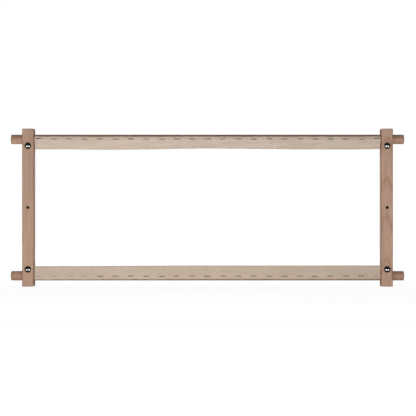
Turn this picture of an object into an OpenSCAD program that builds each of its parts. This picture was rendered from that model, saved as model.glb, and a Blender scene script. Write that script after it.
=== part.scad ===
// Scroll frame for needlework: two slit side bars clamp two rollers.
// Each roller carries a stapled webbing tape.
// Sizes are in millimetres. +X runs along the rollers, -Y is the working side and +Z is up.
// The frame stands on the lower ends of its bars, and the origin is the middle of its outline on that plane.

/* [Frame] */
// Clear width between the two side bars
window_w = 660; // [200:5:1200]
// Distance between the axes of the two rollers
roller_spacing = 260; // [160:5:600]

/* [Side bars] */
// Width of a side bar, seen from the front
bar_w = 22; // [18:1:40]
// Thickness of a side bar, front to back
bar_t = 25; // [23:1:40]
// Distance from a bar's end to the axis of its roller
roller_inset = 20; // [15:1:40]
// Radius of a bar's eased edges
bar_edge = 1.2; // [0.4:0.2:2.4]
// Width of the saw slit that parts a bar's end into two cheeks
slit_w = 3; // [1:0.5:4]
// How far the slit runs on past the clamp bolt's axis
slit_run = 17.3; // [8:0.1:40]
// Diameter of the blind hole for a stand's pin, in the middle of each bar's front
stand_hole_d = 5.3; // [4:0.1:10]
// Wood left behind the stand hole
stand_hole_floor = 5; // [2:0.5:12]

/* [Rollers] */
// Diameter of a roller
roller_d = 18; // [14:1:20]
// How far a roller stands out past a side bar
roller_overhang = 23; // [5:1:60]
// Radius of the eased edge at a roller's ends
roller_edge = 1.6; // [0.4:0.1:3]
// Radial clearance of a roller in its bore
roller_fit = 0.08; // [0.02:0.01:0.1]

/* [Clamp bolts] */
// Diameter of a clamp bolt
bolt_d = 5; // [4:0.5:6]
// Radial clearance of a bolt's shank in the bar
bolt_fit = 0.1; // [0.05:0.05:0.3]
// Wood left between the roller's bore and the bolt's hole
bolt_wall = 1; // [0.6:0.1:4]
// Diameter of the domed head
head_d = 12.6; // [10:0.1:16]
// Height of the domed head
head_h = 3.3; // [2:0.1:4]
// Height of the straight rim under the dome
head_rim = 0.6; // [0.2:0.1:1]
// Length of the square neck under the head
neck_l = 4.1; // [2:0.1:6]
// Clearance on each side of the square neck in its seat
neck_fit = 0.05; // [0.02:0.01:0.2]
// How far the bolt's tail stands out past the wing nut's hub
bolt_tail = 7.3; // [4:0.1:15]
// Length of the thread
thread_l = 16; // [12:0.8:20]
// Distance from one thread groove to the next
thread_pitch = 0.8; // [0.5:0.1:1]
// Depth of a thread groove
thread_depth = 0.45; // [0.2:0.05:0.6]

/* [Washers] */
// Outside diameter of a washer
washer_d = 15; // [11:0.5:18]
// Thickness of a washer
washer_t = 1.2; // [0.8:0.1:2]
// Radial clearance of a washer on the bolt
washer_fit = 0.15; // [0.05:0.05:0.4]

/* [Wing nuts] */
// Diameter of the hub where it meets the washer
hub_base_d = 11; // [9:0.5:14]
// Diameter of the hub's outer end
hub_top_d = 9; // [8:0.5:12]
// Height of the hub
hub_h = 6.5; // [5:0.5:8]
// Height of a wing nut over its wings
nut_h = 13; // [11:0.5:16]
// Span over the two wings
nut_span = 24; // [20:1:30]
// Thickness of a wing
wing_t = 2.4; // [1.5:0.1:3]
// Radius of a wing's round tip
wing_tip_r = 3.4; // [2.5:0.1:4]
// Radial clearance of the nut's bore on the bolt
nut_fit = 0.05; // [0.02:0.01:0.1]
// Lean of the wings from upright at rest: top left, top right, bottom left, bottom right
wing_lean = [20, -35, -15, 40]; // [-45:5:45]

/* [Tapes] */
// Width of the webbing, from its stapled edge to its free edge
tape_w = 26; // [20:1:40]
// Thickness of the webbing
tape_t = 0.9; // [0.6:0.1:1.6]
// Gap between the webbing and the roller it is wrapped on
tape_lift = 0.05; // [0.02:0.01:0.2]
// Gap between a tape's end and whatever sweeps or stands nearest beside it
tape_end_gap = 0.5; // [0.3:0.1:5]
// Angle of the stapled edge round the roller, outward from its front
tape_wrap = 37.5; // [20:0.5:60]
// Angle past the roller's front at which the top tape leaves it
top_leave = 25; // [0:1:40]
// Angle past the roller's front at which the bottom tape leaves it
bottom_leave = 0; // [0:1:40]

/* [Staples] */
// Width over a staple's crown
staple_w = 11.4; // [8:0.2:12.6]
// Length of a staple's legs, measured over the crown
staple_leg = 8; // [4:0.5:9]
// Width of the staple wire
wire_w = 1.2; // [0.6:0.1:1.6]
// Thickness of the staple wire
wire_t = 0.6; // [0.4:0.1:0.8]
// Distance from a tape's end to the middle of its last staple
staple_margin = 7.3; // [7:0.1:20]
// Distance that the staples keep from one to the next, before they are spread evenly
staple_pitch = 29.2; // [20:0.2:60]
// Angle of the staples round the roller, outward from its front
staple_angle = 5; // [5:0.5:15]
// Gap between a staple's crown and the webbing
crown_gap = 0.02; // [0.01:0.01:0.1]
// Clearance round a staple's legs in the webbing and the wood
leg_fit = 0.05; // [0.02:0.01:0.1]

/* [Hidden] */
$fn = 96;
// Room that a cut takes past the face it opens on
cut = 1;
// Sizes of the bars and rollers
bar_l = roller_spacing + 2 * roller_inset;
bar_x = (window_w + bar_w) / 2;
roller_l = window_w + 2 * (bar_w + roller_overhang);
roller_r = roller_d / 2;
bore_r = roller_r + roller_fit;
// The clamp bolts pass just inside the roller bores, and the slits run on past them
bolt_hole_r = bolt_d / 2 + bolt_fit;
bolt_inset = roller_inset + bore_r + bolt_wall + bolt_hole_r;
slit_depth = bolt_inset + slit_run;
neck_w = bolt_d;
bolt_l = bar_t + washer_t + hub_h + bolt_tail;
thread_turns = floor(thread_l / thread_pitch);
thread_root_r = bolt_d / 2 - thread_depth;
nut_bore_r = bolt_d / 2 + nut_fit;
// The dome is the part of a sphere that stands on the head's rim
dome_h = head_h - head_rim;
dome_r = (pow(head_d / 2, 2) + pow(dome_h, 2)) / (2 * dome_h);
// The webbing lies on a slightly larger round than the roller
tape_in_r = roller_r + tape_lift;
tape_out_r = tape_in_r + tape_t;
tape_mid_r = (tape_in_r + tape_out_r) / 2;
wing_overshoot = max(0, (nut_span - bar_w) / 2);
tape_l = window_w - 2 * (wing_overshoot + tape_end_gap);
// The staples are spread evenly between the two end margins
staple_span = tape_l - 2 * staple_margin;
staple_count = round(staple_span / staple_pitch) + 1;
staple_step = staple_span / (staple_count - 1);
crown_in_r = tape_out_r + crown_gap;
leg_in_r = crown_in_r + wire_t - staple_leg;
leg_x = (staple_w - wire_t) / 2;
// The frame is shifted back or forward so that the origin is in the middle of its depth
front_reach = bar_t / 2 + head_h;
back_reach = max(bolt_l - bar_t / 2, bar_t / 2 + washer_t + nut_h);
bar_y = (front_reach - back_reach) / 2;
// Directions that the corner and roller modules take
left = -1;
right = 1;
top = 1;
bottom = -1;

// A rectangle with round corners, centred
module rounded_rect(w, h, r) {
    square([w - 2 * r, h], center = true);
    square([w, h - 2 * r], center = true);
    for (x = [-1, 1], y = [-1, 1])
        translate([x * (w / 2 - r), y * (h / 2 - r)])
            circle(r);
}

// A box with eased edges, centred
module eased_box(w, t, l, r) {
    intersection() {
        linear_extrude(l, center = true)
            rounded_rect(w, t, r);
        rotate([90, 0, 0])
            linear_extrude(t, center = true)
                rounded_rect(w, l, r);
        rotate([90, 0, 90])
            linear_extrude(w, center = true)
                rounded_rect(t, l, r);
    }
}

// Places what it holds on the middle of a roller's axis, with +Z turned away from the window
module at_roller(level) {
    translate([0, bar_y, bar_l / 2 + level * roller_spacing / 2])
        mirror([0, 0, level == bottom ? 1 : 0])
            children();
}

// Places what it holds on a clamp bolt's axis, with +Z pointing back from the front face of the bar
module at_clamp(side, level) {
    translate([side * bar_x, bar_y - bar_t / 2, bar_l / 2 + level * (bar_l / 2 - bolt_inset)])
        rotate([-90, 0, 0])
            children();
}

// The cuts in one end of a bar, taken from the bar's middle: roller bore, slit, bolt hole and neck seat
module bar_end_cuts() {
    translate([0, 0, bar_l / 2 - roller_inset])
        rotate([0, 90, 0])
            cylinder(r = bore_r, h = bar_w + 2 * cut, center = true);
    translate([-bar_w / 2 - cut, -slit_w / 2, bar_l / 2 - slit_depth])
        cube([bar_w + 2 * cut, slit_w, slit_depth + cut]);
    translate([0, 0, bar_l / 2 - bolt_inset])
        rotate([90, 0, 0])
            cylinder(r = bolt_hole_r, h = bar_t + 2 * cut, center = true);
    translate([-neck_w / 2 - neck_fit, -bar_t / 2 - cut, bar_l / 2 - bolt_inset - neck_w / 2 - neck_fit])
        cube([neck_w + 2 * neck_fit, neck_l + neck_fit + cut, neck_w + 2 * neck_fit]);
}

// A side bar: square-edged beech, slit at both ends so that the bolts clamp the rollers
module side_bar(side) {
    translate([side * bar_x, bar_y, bar_l / 2])
        difference() {
            eased_box(bar_w, bar_t, bar_l, bar_edge);
            bar_end_cuts();
            mirror([0, 0, 1])
                bar_end_cuts();
            translate([0, bar_t / 2 - stand_hole_floor, 0])
                rotate([90, 0, 0])
                    cylinder(d = stand_hole_d, h = bar_t - stand_hole_floor + cut);
        }
}

module left_side_bar() {
    color([0.69, 0.56, 0.48])
        side_bar(left);
}

module right_side_bar() {
    color([0.67, 0.55, 0.47])
        side_bar(right);
}

// Repeats what it holds at every staple along a tape
module at_staples() {
    for (i = [0 : staple_count - 1])
        translate([-staple_span / 2 + i * staple_step, 0, 0])
            rotate([-staple_angle, 0, 0])
                children();
}

// The two legs of a staple, grown by a clearance, with the staple's outward direction along -Y
module staple_legs(out_r, fit) {
    for (x = [-leg_x, leg_x])
        translate([x - wire_t / 2 - fit, -out_r, -wire_w / 2 - fit])
            cube([wire_t + 2 * fit, out_r - leg_in_r + fit, wire_w + 2 * fit]);
}

// A roller: a round beech dowel with eased ends and the slits that the staples' legs sit in
module roller() {
    difference() {
        rotate([0, 90, 0])
            rotate_extrude()
                intersection() {
                    rounded_rect(roller_d, roller_l, roller_edge);
                    translate([0, -roller_l / 2])
                        square([roller_r, roller_l]);
                }
        at_staples()
            staple_legs(roller_r + cut, leg_fit);
    }
}

module top_roller() {
    color([0.64, 0.51, 0.43])
        at_roller(top)
            roller();
}

module bottom_roller() {
    color([0.64, 0.51, 0.43])
        at_roller(bottom)
            roller();
}

// A tape's cross-section round the roller's axis, with +X toward the front and +Y away from the window
module tape_section(leave) {
    wrapped = tape_wrap + leave;
    straight = tape_w - wrapped * PI / 180 * tape_mid_r;
    reach = 2 * tape_out_r;
    rotate(-leave) {
        intersection() {
            difference() {
                circle(tape_out_r);
                circle(tape_in_r);
            }
            polygon([
                [0, 0],
                [reach, 0],
                reach * [cos(wrapped / 2), sin(wrapped / 2)],
                reach * [cos(wrapped), sin(wrapped)]
            ]);
        }
        translate([tape_in_r, -straight])
            square([tape_t, straight]);
    }
}

// A tape: a strip of webbing that lies on the roller's front and runs on straight into the window
module tape(leave) {
    difference() {
        rotate([90, 0, 90])
            linear_extrude(tape_l, center = true)
                mirror([1, 0])
                    tape_section(leave);
        at_staples()
            staple_legs(tape_out_r + cut, leg_fit);
    }
}

module top_tape() {
    color([0.79, 0.73, 0.66])
        at_roller(top)
            tape(top_leave);
}

module bottom_tape() {
    color([0.76, 0.69, 0.62])
        at_roller(bottom)
            tape(bottom_leave);
}

// A staple: a flat crown on the webbing and two legs driven toward the roller's axis
module staple() {
    translate([-staple_w / 2, -crown_in_r - wire_t, -wire_w / 2])
        cube([staple_w, wire_t, wire_w]);
    staple_legs(crown_in_r + wire_t, 0);
}

module top_staples() {
    color([0.42, 0.41, 0.40])
        at_roller(top)
            at_staples()
                staple();
}

module bottom_staples() {
    color([0.42, 0.41, 0.40])
        at_roller(bottom)
            at_staples()
                staple();
}

// A clamp bolt: domed head in front of z = 0, square neck and threaded shank behind it
module carriage_bolt() {
    thread_start = bolt_l - thread_turns * thread_pitch;
    color([0.62, 0.62, 0.63]) {
        rotate_extrude() {
            translate([0, -head_rim])
                square([head_d / 2, head_rim]);
            intersection() {
                translate([0, dome_r - head_h])
                    circle(dome_r);
                translate([0, -head_h])
                    square([head_d / 2, dome_h]);
            }
            polygon(concat(
                [[0, 0], [bolt_d / 2, 0], [bolt_d / 2, thread_start]],
                [for (i = [0 : thread_turns - 1], half = [0.5, 1])
                    [half == 1 ? bolt_d / 2 : thread_root_r, thread_start + (i + half) * thread_pitch]],
                [[0, bolt_l]]
            ));
        }
        translate([-neck_w / 2, -neck_w / 2, 0])
            cube([neck_w, neck_w, neck_l]);
    }
}

// A washer, with z = 0 on the front face of the bar
module washer() {
    color([0.60, 0.60, 0.61])
        translate([0, 0, bar_t])
            difference() {
                cylinder(d = washer_d, h = washer_t);
                translate([0, 0, -cut])
                    cylinder(r = bolt_d / 2 + washer_fit, h = washer_t + 2 * cut);
            }
}

// The point where a straight line from p touches the circle round c: side 1 or -1 picks which of the two
function touch_point(p, c, r, side) =
    let (back = atan2(p.y - c.y, p.x - c.x), open = acos(r / norm(c - p)))
    c + r * [cos(back + side * open), sin(back + side * open)];

// The outline of one wing, with the hub's axis along Y
module wing_outline() {
    tip = [nut_span / 2 - wing_tip_r, nut_h - wing_tip_r];
    root_x = (nut_bore_r + hub_top_d / 2) / 2;
    low_root = [root_x, hub_h / 6];
    high_root = [root_x, hub_h - hub_h / 6];
    translate(tip)
        circle(wing_tip_r);
    polygon([low_root, touch_point(low_root, tip, wing_tip_r, 1), tip,
        touch_point(high_root, tip, wing_tip_r, -1), high_root]);
}

// A wing nut, with z = 0 on the front face of the bar and its wings leaning from upright
module wing_nut(lean) {
    color([0.60, 0.60, 0.61])
        translate([0, 0, bar_t + washer_t])
            rotate([0, 0, 90 + lean])
                difference() {
                    union() {
                        cylinder(d1 = hub_base_d, d2 = hub_top_d, h = hub_h);
                        for (turn = [0, 180])
                            rotate([90, 0, turn])
                                linear_extrude(wing_t, center = true)
                                    wing_outline();
                    }
                    translate([0, 0, -cut])
                        cylinder(r = nut_bore_r, h = hub_h + 2 * cut);
                }
}

left_side_bar();
right_side_bar();
top_roller();
bottom_roller();
top_tape();
bottom_tape();
top_staples();
bottom_staples();
at_clamp(left, top) carriage_bolt();  // top_left_bolt
at_clamp(right, top) carriage_bolt();  // top_right_bolt
at_clamp(left, bottom) carriage_bolt();  // bottom_left_bolt
at_clamp(right, bottom) carriage_bolt();  // bottom_right_bolt
at_clamp(left, top) washer();  // top_left_washer
at_clamp(right, top) washer();  // top_right_washer
at_clamp(left, bottom) washer();  // bottom_left_washer
at_clamp(right, bottom) washer();  // bottom_right_washer
at_clamp(left, top) wing_nut(wing_lean[0]);  // top_left_wing_nut
at_clamp(right, top) wing_nut(wing_lean[1]);  // top_right_wing_nut
at_clamp(left, bottom) wing_nut(wing_lean[2]);  // bottom_left_wing_nut
at_clamp(right, bottom) wing_nut(wing_lean[3]);  // bottom_right_wing_nut
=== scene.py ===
"""A needlework scroll frame, dressed for rendering over its packed construction model.

Two slit beech bars clamp two beech rollers with carriage bolts and wing nuts, and each roller carries a
strip of cotton webbing under a row of staples. All lengths are in metres, +X runs along the rollers,
-Y is the working side and +Z is up.
"""

import logging
import math
import random
from dataclasses import dataclass
from enum import Enum
from typing import Iterable, Sequence, Union

import bmesh
import bpy
from mathutils import Matrix, Vector, noise


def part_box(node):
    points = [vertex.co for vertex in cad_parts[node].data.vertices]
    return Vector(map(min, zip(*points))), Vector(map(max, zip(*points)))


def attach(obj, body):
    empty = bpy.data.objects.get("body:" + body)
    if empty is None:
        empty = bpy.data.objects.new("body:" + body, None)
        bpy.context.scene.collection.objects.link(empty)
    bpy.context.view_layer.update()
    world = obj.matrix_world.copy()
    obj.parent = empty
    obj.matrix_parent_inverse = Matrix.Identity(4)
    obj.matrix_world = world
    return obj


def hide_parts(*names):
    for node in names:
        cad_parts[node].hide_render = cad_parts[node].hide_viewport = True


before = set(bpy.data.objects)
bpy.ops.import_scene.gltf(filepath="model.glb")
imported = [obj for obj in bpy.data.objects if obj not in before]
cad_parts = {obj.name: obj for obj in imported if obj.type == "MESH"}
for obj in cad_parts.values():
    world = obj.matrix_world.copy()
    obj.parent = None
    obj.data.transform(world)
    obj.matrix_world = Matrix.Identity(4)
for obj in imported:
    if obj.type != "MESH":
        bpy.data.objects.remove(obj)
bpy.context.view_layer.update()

LOG = logging.getLogger("scroll_frame")
MM = 0.001
FULL_TURN = 2 * math.pi
SAME_PLACE = 0.001 * MM

Colour = tuple[float, float, float]
Socket = bpy.types.NodeSocket
Feed = Union[Socket, float, Sequence[float]]


class Side(Enum):
    """The two side bars, as seen from the front."""

    LEFT = "left"
    RIGHT = "right"


class Level(Enum):
    """The two rollers. The value is the direction that points away from the working window."""

    TOP = 1
    BOTTOM = -1

    @property
    def word(self) -> str:
        """The level's name as the nodes have it."""
        return self.name.lower()


class Grain(Enum):
    """The direction that a piece of wood's fibres run in, as the turn that brings it to +Z."""

    UPRIGHT = (0.0, 0.0, 0.0)
    ALONG_ROLLER = (0.0, -math.pi / 2, 0.0)


def paint(red: int, green: int, blue: int) -> Colour:
    """Turns a display colour of 0 to 255 into the linear colour that a shader takes.

    Args:
        red: The red value.
        green: The green value.
        blue: The blue value.

    Returns:
        The linear red, green and blue.
    """

    def linear(value: float) -> float:
        """One channel, by the display standard's curve."""
        share = value / 255
        return share / 12.92 if share <= 0.04045 else ((share + 0.055) / 1.055) ** 2.4

    return linear(red), linear(green), linear(blue)


def smooth_step(low: float, high: float, value: float) -> float:
    """Rises smoothly from 0 at low to 1 at high."""
    share = min(1.0, max(0.0, (value - low) / (high - low)))
    return share * share * (3 - 2 * share)


class NodeBench:
    """Lays nodes on one node tree and joins them."""

    def __init__(self, tree: bpy.types.NodeTree) -> None:
        """Starts on an empty tree.

        Args:
            tree: The node tree to work on.
        """
        self.tree = tree
        self.tree.nodes.clear()

    def add(self, kind: str, **settings: object) -> bpy.types.Node:
        """Adds a node.

        Args:
            kind: The node's type name.
            **settings: Properties to set on it.

        Returns:
            The new node.
        """
        node = self.tree.nodes.new(kind)
        for name, value in settings.items():
            setattr(node, name, value)
        return node

    def feed(self, socket: Socket, value: Feed) -> None:
        """Links a socket to another, or sets its value.

        Args:
            socket: The socket to feed.
            value: Another node's output, or a number, vector or colour.
        """
        if isinstance(value, bpy.types.NodeSocket):
            self.tree.links.new(value, socket)
        elif socket.type == "RGBA" and len(value) == 3:
            socket.default_value = (*value, 1.0)
        else:
            socket.default_value = value

    def feed_all(self, node: bpy.types.Node, values: Sequence[Feed]) -> None:
        """Feeds a node's first inputs in their order."""
        for socket, value in zip(node.inputs, values):
            self.feed(socket, value)

    def math(self, operation: str, *values: Feed, clamp: bool = False) -> Socket:
        """Adds a Math node.

        Args:
            operation: What it does.
            *values: What it does it to.
            clamp: Whether its result is kept between 0 and 1.

        Returns:
            Its result.
        """
        node = self.add("ShaderNodeMath", operation=operation, use_clamp=clamp)
        self.feed_all(node, values)
        return node.outputs[0]

    def vector(self, operation: str, *values: Feed) -> Socket:
        """Adds a Vector Math node.

        Args:
            operation: What it does.
            *values: What it does it to.

        Returns:
            Its vector, or its value for a length.
        """
        node = self.add("ShaderNodeVectorMath", operation=operation)
        self.feed_all(node, values)
        return node.outputs["Value" if operation == "LENGTH" else "Vector"]

    def split(self, vector: Feed) -> tuple[Socket, Socket, Socket]:
        """Adds a node that takes a vector apart.

        Args:
            vector: The vector.

        Returns:
            Its three parts.
        """
        node = self.add("ShaderNodeSeparateXYZ")
        self.feed(node.inputs[0], vector)
        return tuple(node.outputs)

    def join(self, *parts: Feed) -> Socket:
        """Adds a node that makes a vector of three parts.

        Args:
            *parts: The vector's three parts.

        Returns:
            The vector.
        """
        node = self.add("ShaderNodeCombineXYZ")
        self.feed_all(node, parts)
        return node.outputs[0]

    def noise(self, place: Feed, waves: Sequence[float], detail: float = 2.0) -> Socket:
        """Adds a noise texture.

        Args:
            place: Where it is read.
            waves: Its waves per metre along each axis.
            detail: How many finer layers it has.

        Returns:
            Its value, from 0 to 1.
        """
        node = self.add("ShaderNodeTexNoise")
        self.feed(node.inputs["Vector"], self.vector("MULTIPLY", place, waves))
        node.inputs["Scale"].default_value = 1.0
        node.inputs["Detail"].default_value = detail
        return node.outputs[0]

    def ramp(self, value: Feed, low: float, high: float, start: float = 0.0, end: float = 1.0) -> Socket:
        """Adds a smooth rise or fall.

        Args:
            value: What it follows.
            low: The value up to which it gives start.
            high: The value from which it gives end.
            start: Its first result.
            end: Its last result.

        Returns:
            The result.
        """
        node = self.add("ShaderNodeMapRange", interpolation_type="SMOOTHSTEP")
        self.feed_all(node, (value, low, high, start, end))
        return node.outputs[0]

    def fade(self, value: Feed, start: float, over: float) -> Socket:
        """A smooth fall from 1 at start to 0 when value is further on by over."""
        return self.ramp(value, start, start + over, 1.0, 0.0)

    def blend(self, share: Feed, first: Feed, second: Feed, kind: str = "MIX") -> Socket:
        """Adds a node that mixes two colours.

        Args:
            share: How much of the second colour there is, from 0 to 1.
            first: The first colour.
            second: The second colour.
            kind: How the second colour goes over the first.

        Returns:
            The mixed colour.
        """
        node = self.add("ShaderNodeMix", data_type="RGBA", blend_type=kind)
        for index, value in ((0, share), (6, first), (7, second)):
            self.feed(node.inputs[index], value)
        return node.outputs[2]

    def tinted(self, base: Feed, share: Feed, tint: Colour) -> Socket:
        """A colour multiplied by a tint, by a share."""
        return self.blend(share, base, tint, kind="MULTIPLY")

    def bump(self, height: Feed, distance: float, strength: float = 1.0) -> Socket:
        """Adds a bump.

        Args:
            height: The surface's height, from 0 to 1.
            distance: How far a height of 1 stands out.
            strength: How much of the bump is seen.

        Returns:
            The normal.
        """
        node = self.add("ShaderNodeBump")
        node.inputs["Strength"].default_value = strength
        node.inputs["Distance"].default_value = distance
        self.feed(node.inputs["Height"], height)
        return node.outputs[0]


class EffectGroup:
    """A shader node group that several materials share.

    Attributes:
        title: The group's name.
        inputs: The names and kinds of what goes in.
        outputs: The names and kinds of what comes out.
        made: The node trees of all groups so far, by title.
    """

    title: str = ""
    inputs: Sequence[tuple[str, str]] = ()
    outputs: Sequence[tuple[str, str]] = ()
    made: dict[str, bpy.types.NodeTree] = {}

    def tree(self) -> bpy.types.NodeTree:
        """Builds the group's node tree the first time it is asked for.

        Returns:
            The group's node tree.
        """
        if self.title not in self.made:
            tree = bpy.data.node_groups.new(self.title, "ShaderNodeTree")
            for name, kind in self.inputs:
                tree.interface.new_socket(name=name, in_out="INPUT", socket_type=kind)
            for name, kind in self.outputs:
                tree.interface.new_socket(name=name, in_out="OUTPUT", socket_type=kind)
            bench = NodeBench(tree)
            entry = bench.add("NodeGroupInput")
            leave = bench.add("NodeGroupOutput")
            results = self.work(bench, {s.name: s for s in entry.outputs if s.name})
            for name, value in results.items():
                bench.feed(leave.inputs[name], value)
            self.made[self.title] = tree
        return self.made[self.title]

    def work(self, bench: NodeBench, given: dict[str, Socket]) -> dict[str, Socket]:
        """Lays the group's nodes.

        Args:
            bench: The bench on the group's tree.
            given: The group's inputs by name.

        Returns:
            The group's outputs by name.
        """
        raise NotImplementedError

    def place(self, bench: NodeBench, **values: Feed) -> dict[str, Socket]:
        """Places the group in a material.

        Args:
            bench: The bench on the material's tree.
            **values: The inputs, with underscores for spaces.

        Returns:
            The group's outputs by name.
        """
        node = bench.add("ShaderNodeGroup", node_tree=self.tree())
        for name, value in values.items():
            bench.feed(node.inputs[name.replace("_", " ")], value)
        return {s.name: s for s in node.outputs}


FLOAT = "NodeSocketFloat"
VECTOR = "NodeSocketVector"


class BeechFigure(EffectGroup):
    """Year rings, fibres and ray flecks round a pith line that runs along Z."""

    title = "beech_figure"
    inputs = (("Place", VECTOR), ("Ring Width", FLOAT), ("Sway", FLOAT), ("Seed", FLOAT))
    outputs = (("Rings", FLOAT), ("Fibre", FLOAT), ("Fleck", FLOAT), ("Blotch", FLOAT), ("Height", FLOAT))

    def work(self, bench: NodeBench, given: dict[str, Socket]) -> dict[str, Socket]:
        """Lays the rings, streaks and flecks.

        Args:
            bench: The bench on the group's tree.
            given: The group's inputs by name.

        Returns:
            The group's outputs by name.
        """
        x, y, _ = bench.split(given["Place"])
        shift = bench.join(*(bench.math("MULTIPLY", given["Seed"], step) for step in (3.1, 1.7, 0.9)))
        place = bench.vector("ADD", given["Place"], shift)
        wave = bench.math("SUBTRACT", bench.noise(place, (40, 40, 7)), 0.5)
        sway = bench.math("MULTIPLY", wave, given["Sway"])
        radius = bench.vector("LENGTH", bench.join(x, y, 0.0))
        years = bench.math("DIVIDE", bench.math("ADD", radius, sway), given["Ring Width"])
        within = bench.math("FRACT", years)
        late = bench.math("MULTIPLY", bench.ramp(within, 0.58, 0.92), bench.ramp(within, 0.92, 1.0, 1.0, 0.0))
        year = bench.join(bench.math("FLOOR", years), 0.0, given["Seed"])
        strength = bench.ramp(bench.noise(year, (0.71, 1, 1)), 0.35, 0.65, 0.2, 1.0)
        rings = bench.math("MULTIPLY", late, strength)
        fibre = bench.noise(place, (620, 620, 11), detail=3.0)
        fleck = bench.ramp(bench.noise(place, (2700, 2700, 460), detail=1.0), 0.62, 0.74)
        blotch = bench.noise(place, (28, 28, 7), detail=1.0)
        height = bench.math("ADD", bench.math("MULTIPLY", fibre, 0.7), bench.math("MULTIPLY", fleck, -0.5))
        return {"Rings": rings, "Fibre": fibre, "Fleck": fleck, "Blotch": blotch, "Height": height}


class EdgeShade(EffectGroup):
    """How near a point on a box is to one of the box's edges."""

    title = "edge_shade"
    inputs = (("Place", VECTOR), ("Centre", VECTOR), ("Half Size", VECTOR), ("Reach", FLOAT))
    outputs = (("Edge", FLOAT),)

    def work(self, bench: NodeBench, given: dict[str, Socket]) -> dict[str, Socket]:
        """Takes the second smallest of the distances to the box's three pairs of faces.

        Args:
            bench: The bench on the group's tree.
            given: The group's inputs by name.

        Returns:
            The group's outputs by name.
        """
        away = bench.vector("ABSOLUTE", bench.vector("SUBTRACT", given["Place"], given["Centre"]))
        x, y, z = bench.split(bench.vector("SUBTRACT", given["Half Size"], away))
        total = bench.math("ADD", bench.math("ADD", x, y), z)
        most = bench.math("MAXIMUM", bench.math("MAXIMUM", x, y), z)
        least = bench.math("MINIMUM", bench.math("MINIMUM", x, y), z)
        middle = bench.math("SUBTRACT", bench.math("SUBTRACT", total, most), least)
        share = bench.math("DIVIDE", middle, given["Reach"])
        return {"Edge": bench.fade(share, 0.0, 1.0)}


class PlainWeave(EffectGroup):
    """Threads over and under each other on a flat pattern in metres: X along the tape, Y across it."""

    title = "plain_weave"
    inputs = (("Flat", VECTOR), ("Pick", FLOAT), ("End", FLOAT))
    outputs = (("Height", FLOAT), ("Gap", FLOAT), ("Yarn", FLOAT), ("Slub", FLOAT))

    def work(self, bench: NodeBench, given: dict[str, Socket]) -> dict[str, Socket]:
        """Crosses round threads, and gives each long thread its own tone.

        Args:
            bench: The bench on the group's tree.
            given: The group's inputs by name.

        Returns:
            The group's outputs by name.
        """
        along, across, _ = bench.split(given["Flat"])
        picks = bench.math("DIVIDE", along, given["Pick"])
        ends = bench.math("DIVIDE", across, given["End"])
        pick_round = bench.math("SINE", bench.math("MULTIPLY", bench.math("FRACT", picks), math.pi))
        end_round = bench.math("SINE", bench.math("MULTIPLY", bench.math("FRACT", ends), math.pi))
        parity = bench.math("ADD", bench.math("FLOOR", picks), bench.math("FLOOR", ends))
        over = bench.math("PINGPONG", parity, 1.0)
        end_high = bench.math("MULTIPLY", end_round, bench.math("MULTIPLY_ADD", pick_round, 0.5, 0.5))
        pick_high = bench.math("MULTIPLY", pick_round, bench.math("MULTIPLY_ADD", end_round, 0.5, 0.5))
        under = bench.math("SUBTRACT", 1.0, over)
        ends_up = bench.math("MULTIPLY", end_high, over)
        picks_up = bench.math("MULTIPLY", pick_high, under)
        height = bench.math("ADD", ends_up, picks_up)
        gap = bench.ramp(height, 0.1, 0.45, 1.0, 0.0)
        thread = bench.join(bench.math("MULTIPLY", along, 9.0), bench.math("FLOOR", ends), 0.0)
        yarn = bench.noise(thread, (1.0, 0.83, 1.0), detail=1.0)
        slub = bench.noise(given["Flat"], (160, 1700, 1), detail=2.0)
        return {"Height": height, "Gap": gap, "Yarn": yarn, "Slub": slub}


class HandlingMarks(EffectGroup):
    """Fine scratches and smudges on metal."""

    title = "handling_marks"
    inputs = (("Place", VECTOR),)
    outputs = (("Scratch", FLOAT), ("Smudge", FLOAT))

    def work(self, bench: NodeBench, given: dict[str, Socket]) -> dict[str, Socket]:
        """Crosses two sets of stretched noise for scratches over a softer smudge.

        Args:
            bench: The bench on the group's tree.
            given: The group's inputs by name.

        Returns:
            The group's outputs by name.
        """
        place = given["Place"]
        first = bench.noise(place, (2600, 190, 900), detail=1.0)
        second = bench.noise(place, (240, 2300, 1100), detail=1.0)
        scratch = bench.math("MAXIMUM", bench.ramp(first, 0.66, 0.76), bench.ramp(second, 0.68, 0.78))
        smudge = bench.noise(place, (330, 330, 330), detail=3.0)
        return {"Scratch": scratch, "Smudge": smudge}


class Finish:
    """A material with a Principled shader that subclasses dress.

    Attributes:
        name: The material's name.
    """

    name: str

    def material(self) -> bpy.types.Material:
        """Makes the material the first time it is asked for.

        Returns:
            The material.
        """
        made = bpy.data.materials.get(self.name)
        if made is None:
            made = bpy.data.materials.new(self.name)
            made.use_nodes = True
            bench = NodeBench(made.node_tree)
            shader = bench.add("ShaderNodeBsdfPrincipled")
            self.dress(bench, shader)
            output = bench.add("ShaderNodeOutputMaterial")
            bench.feed(output.inputs["Surface"], shader.outputs[0])
        return made

    def dress(self, bench: NodeBench, shader: bpy.types.Node) -> None:
        """Feeds the shader's sockets.

        Args:
            bench: The bench on the material's tree.
            shader: The Principled shader.
        """
        raise NotImplementedError


# Tints are shares of the wood's own red, green and blue.
BLOTCH_TINT = (0.93, 0.95, 0.97)
FLECK_TINT = (0.80, 0.74, 0.69)
END_GRAIN_TINT = (0.80, 0.73, 0.68)
# Handling dirt and painted shade along a bar's edges.
EDGE_DIRT_AND_SHADE_TINT = (0.66, 0.57, 0.52)
# Painted shade on a bar's inner side face.
SIDE_FACE_SHADE_TINT = (0.85, 0.79, 0.75)
# Dirt and painted shade round a bolt's head.
COLLAR_DIRT_AND_SHADE_TINT = (0.50, 0.44, 0.40)
# Painted shade on the side faces round the rollers.
ROLLER_SHADE_TINT = (0.46, 0.39, 0.36)
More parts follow.
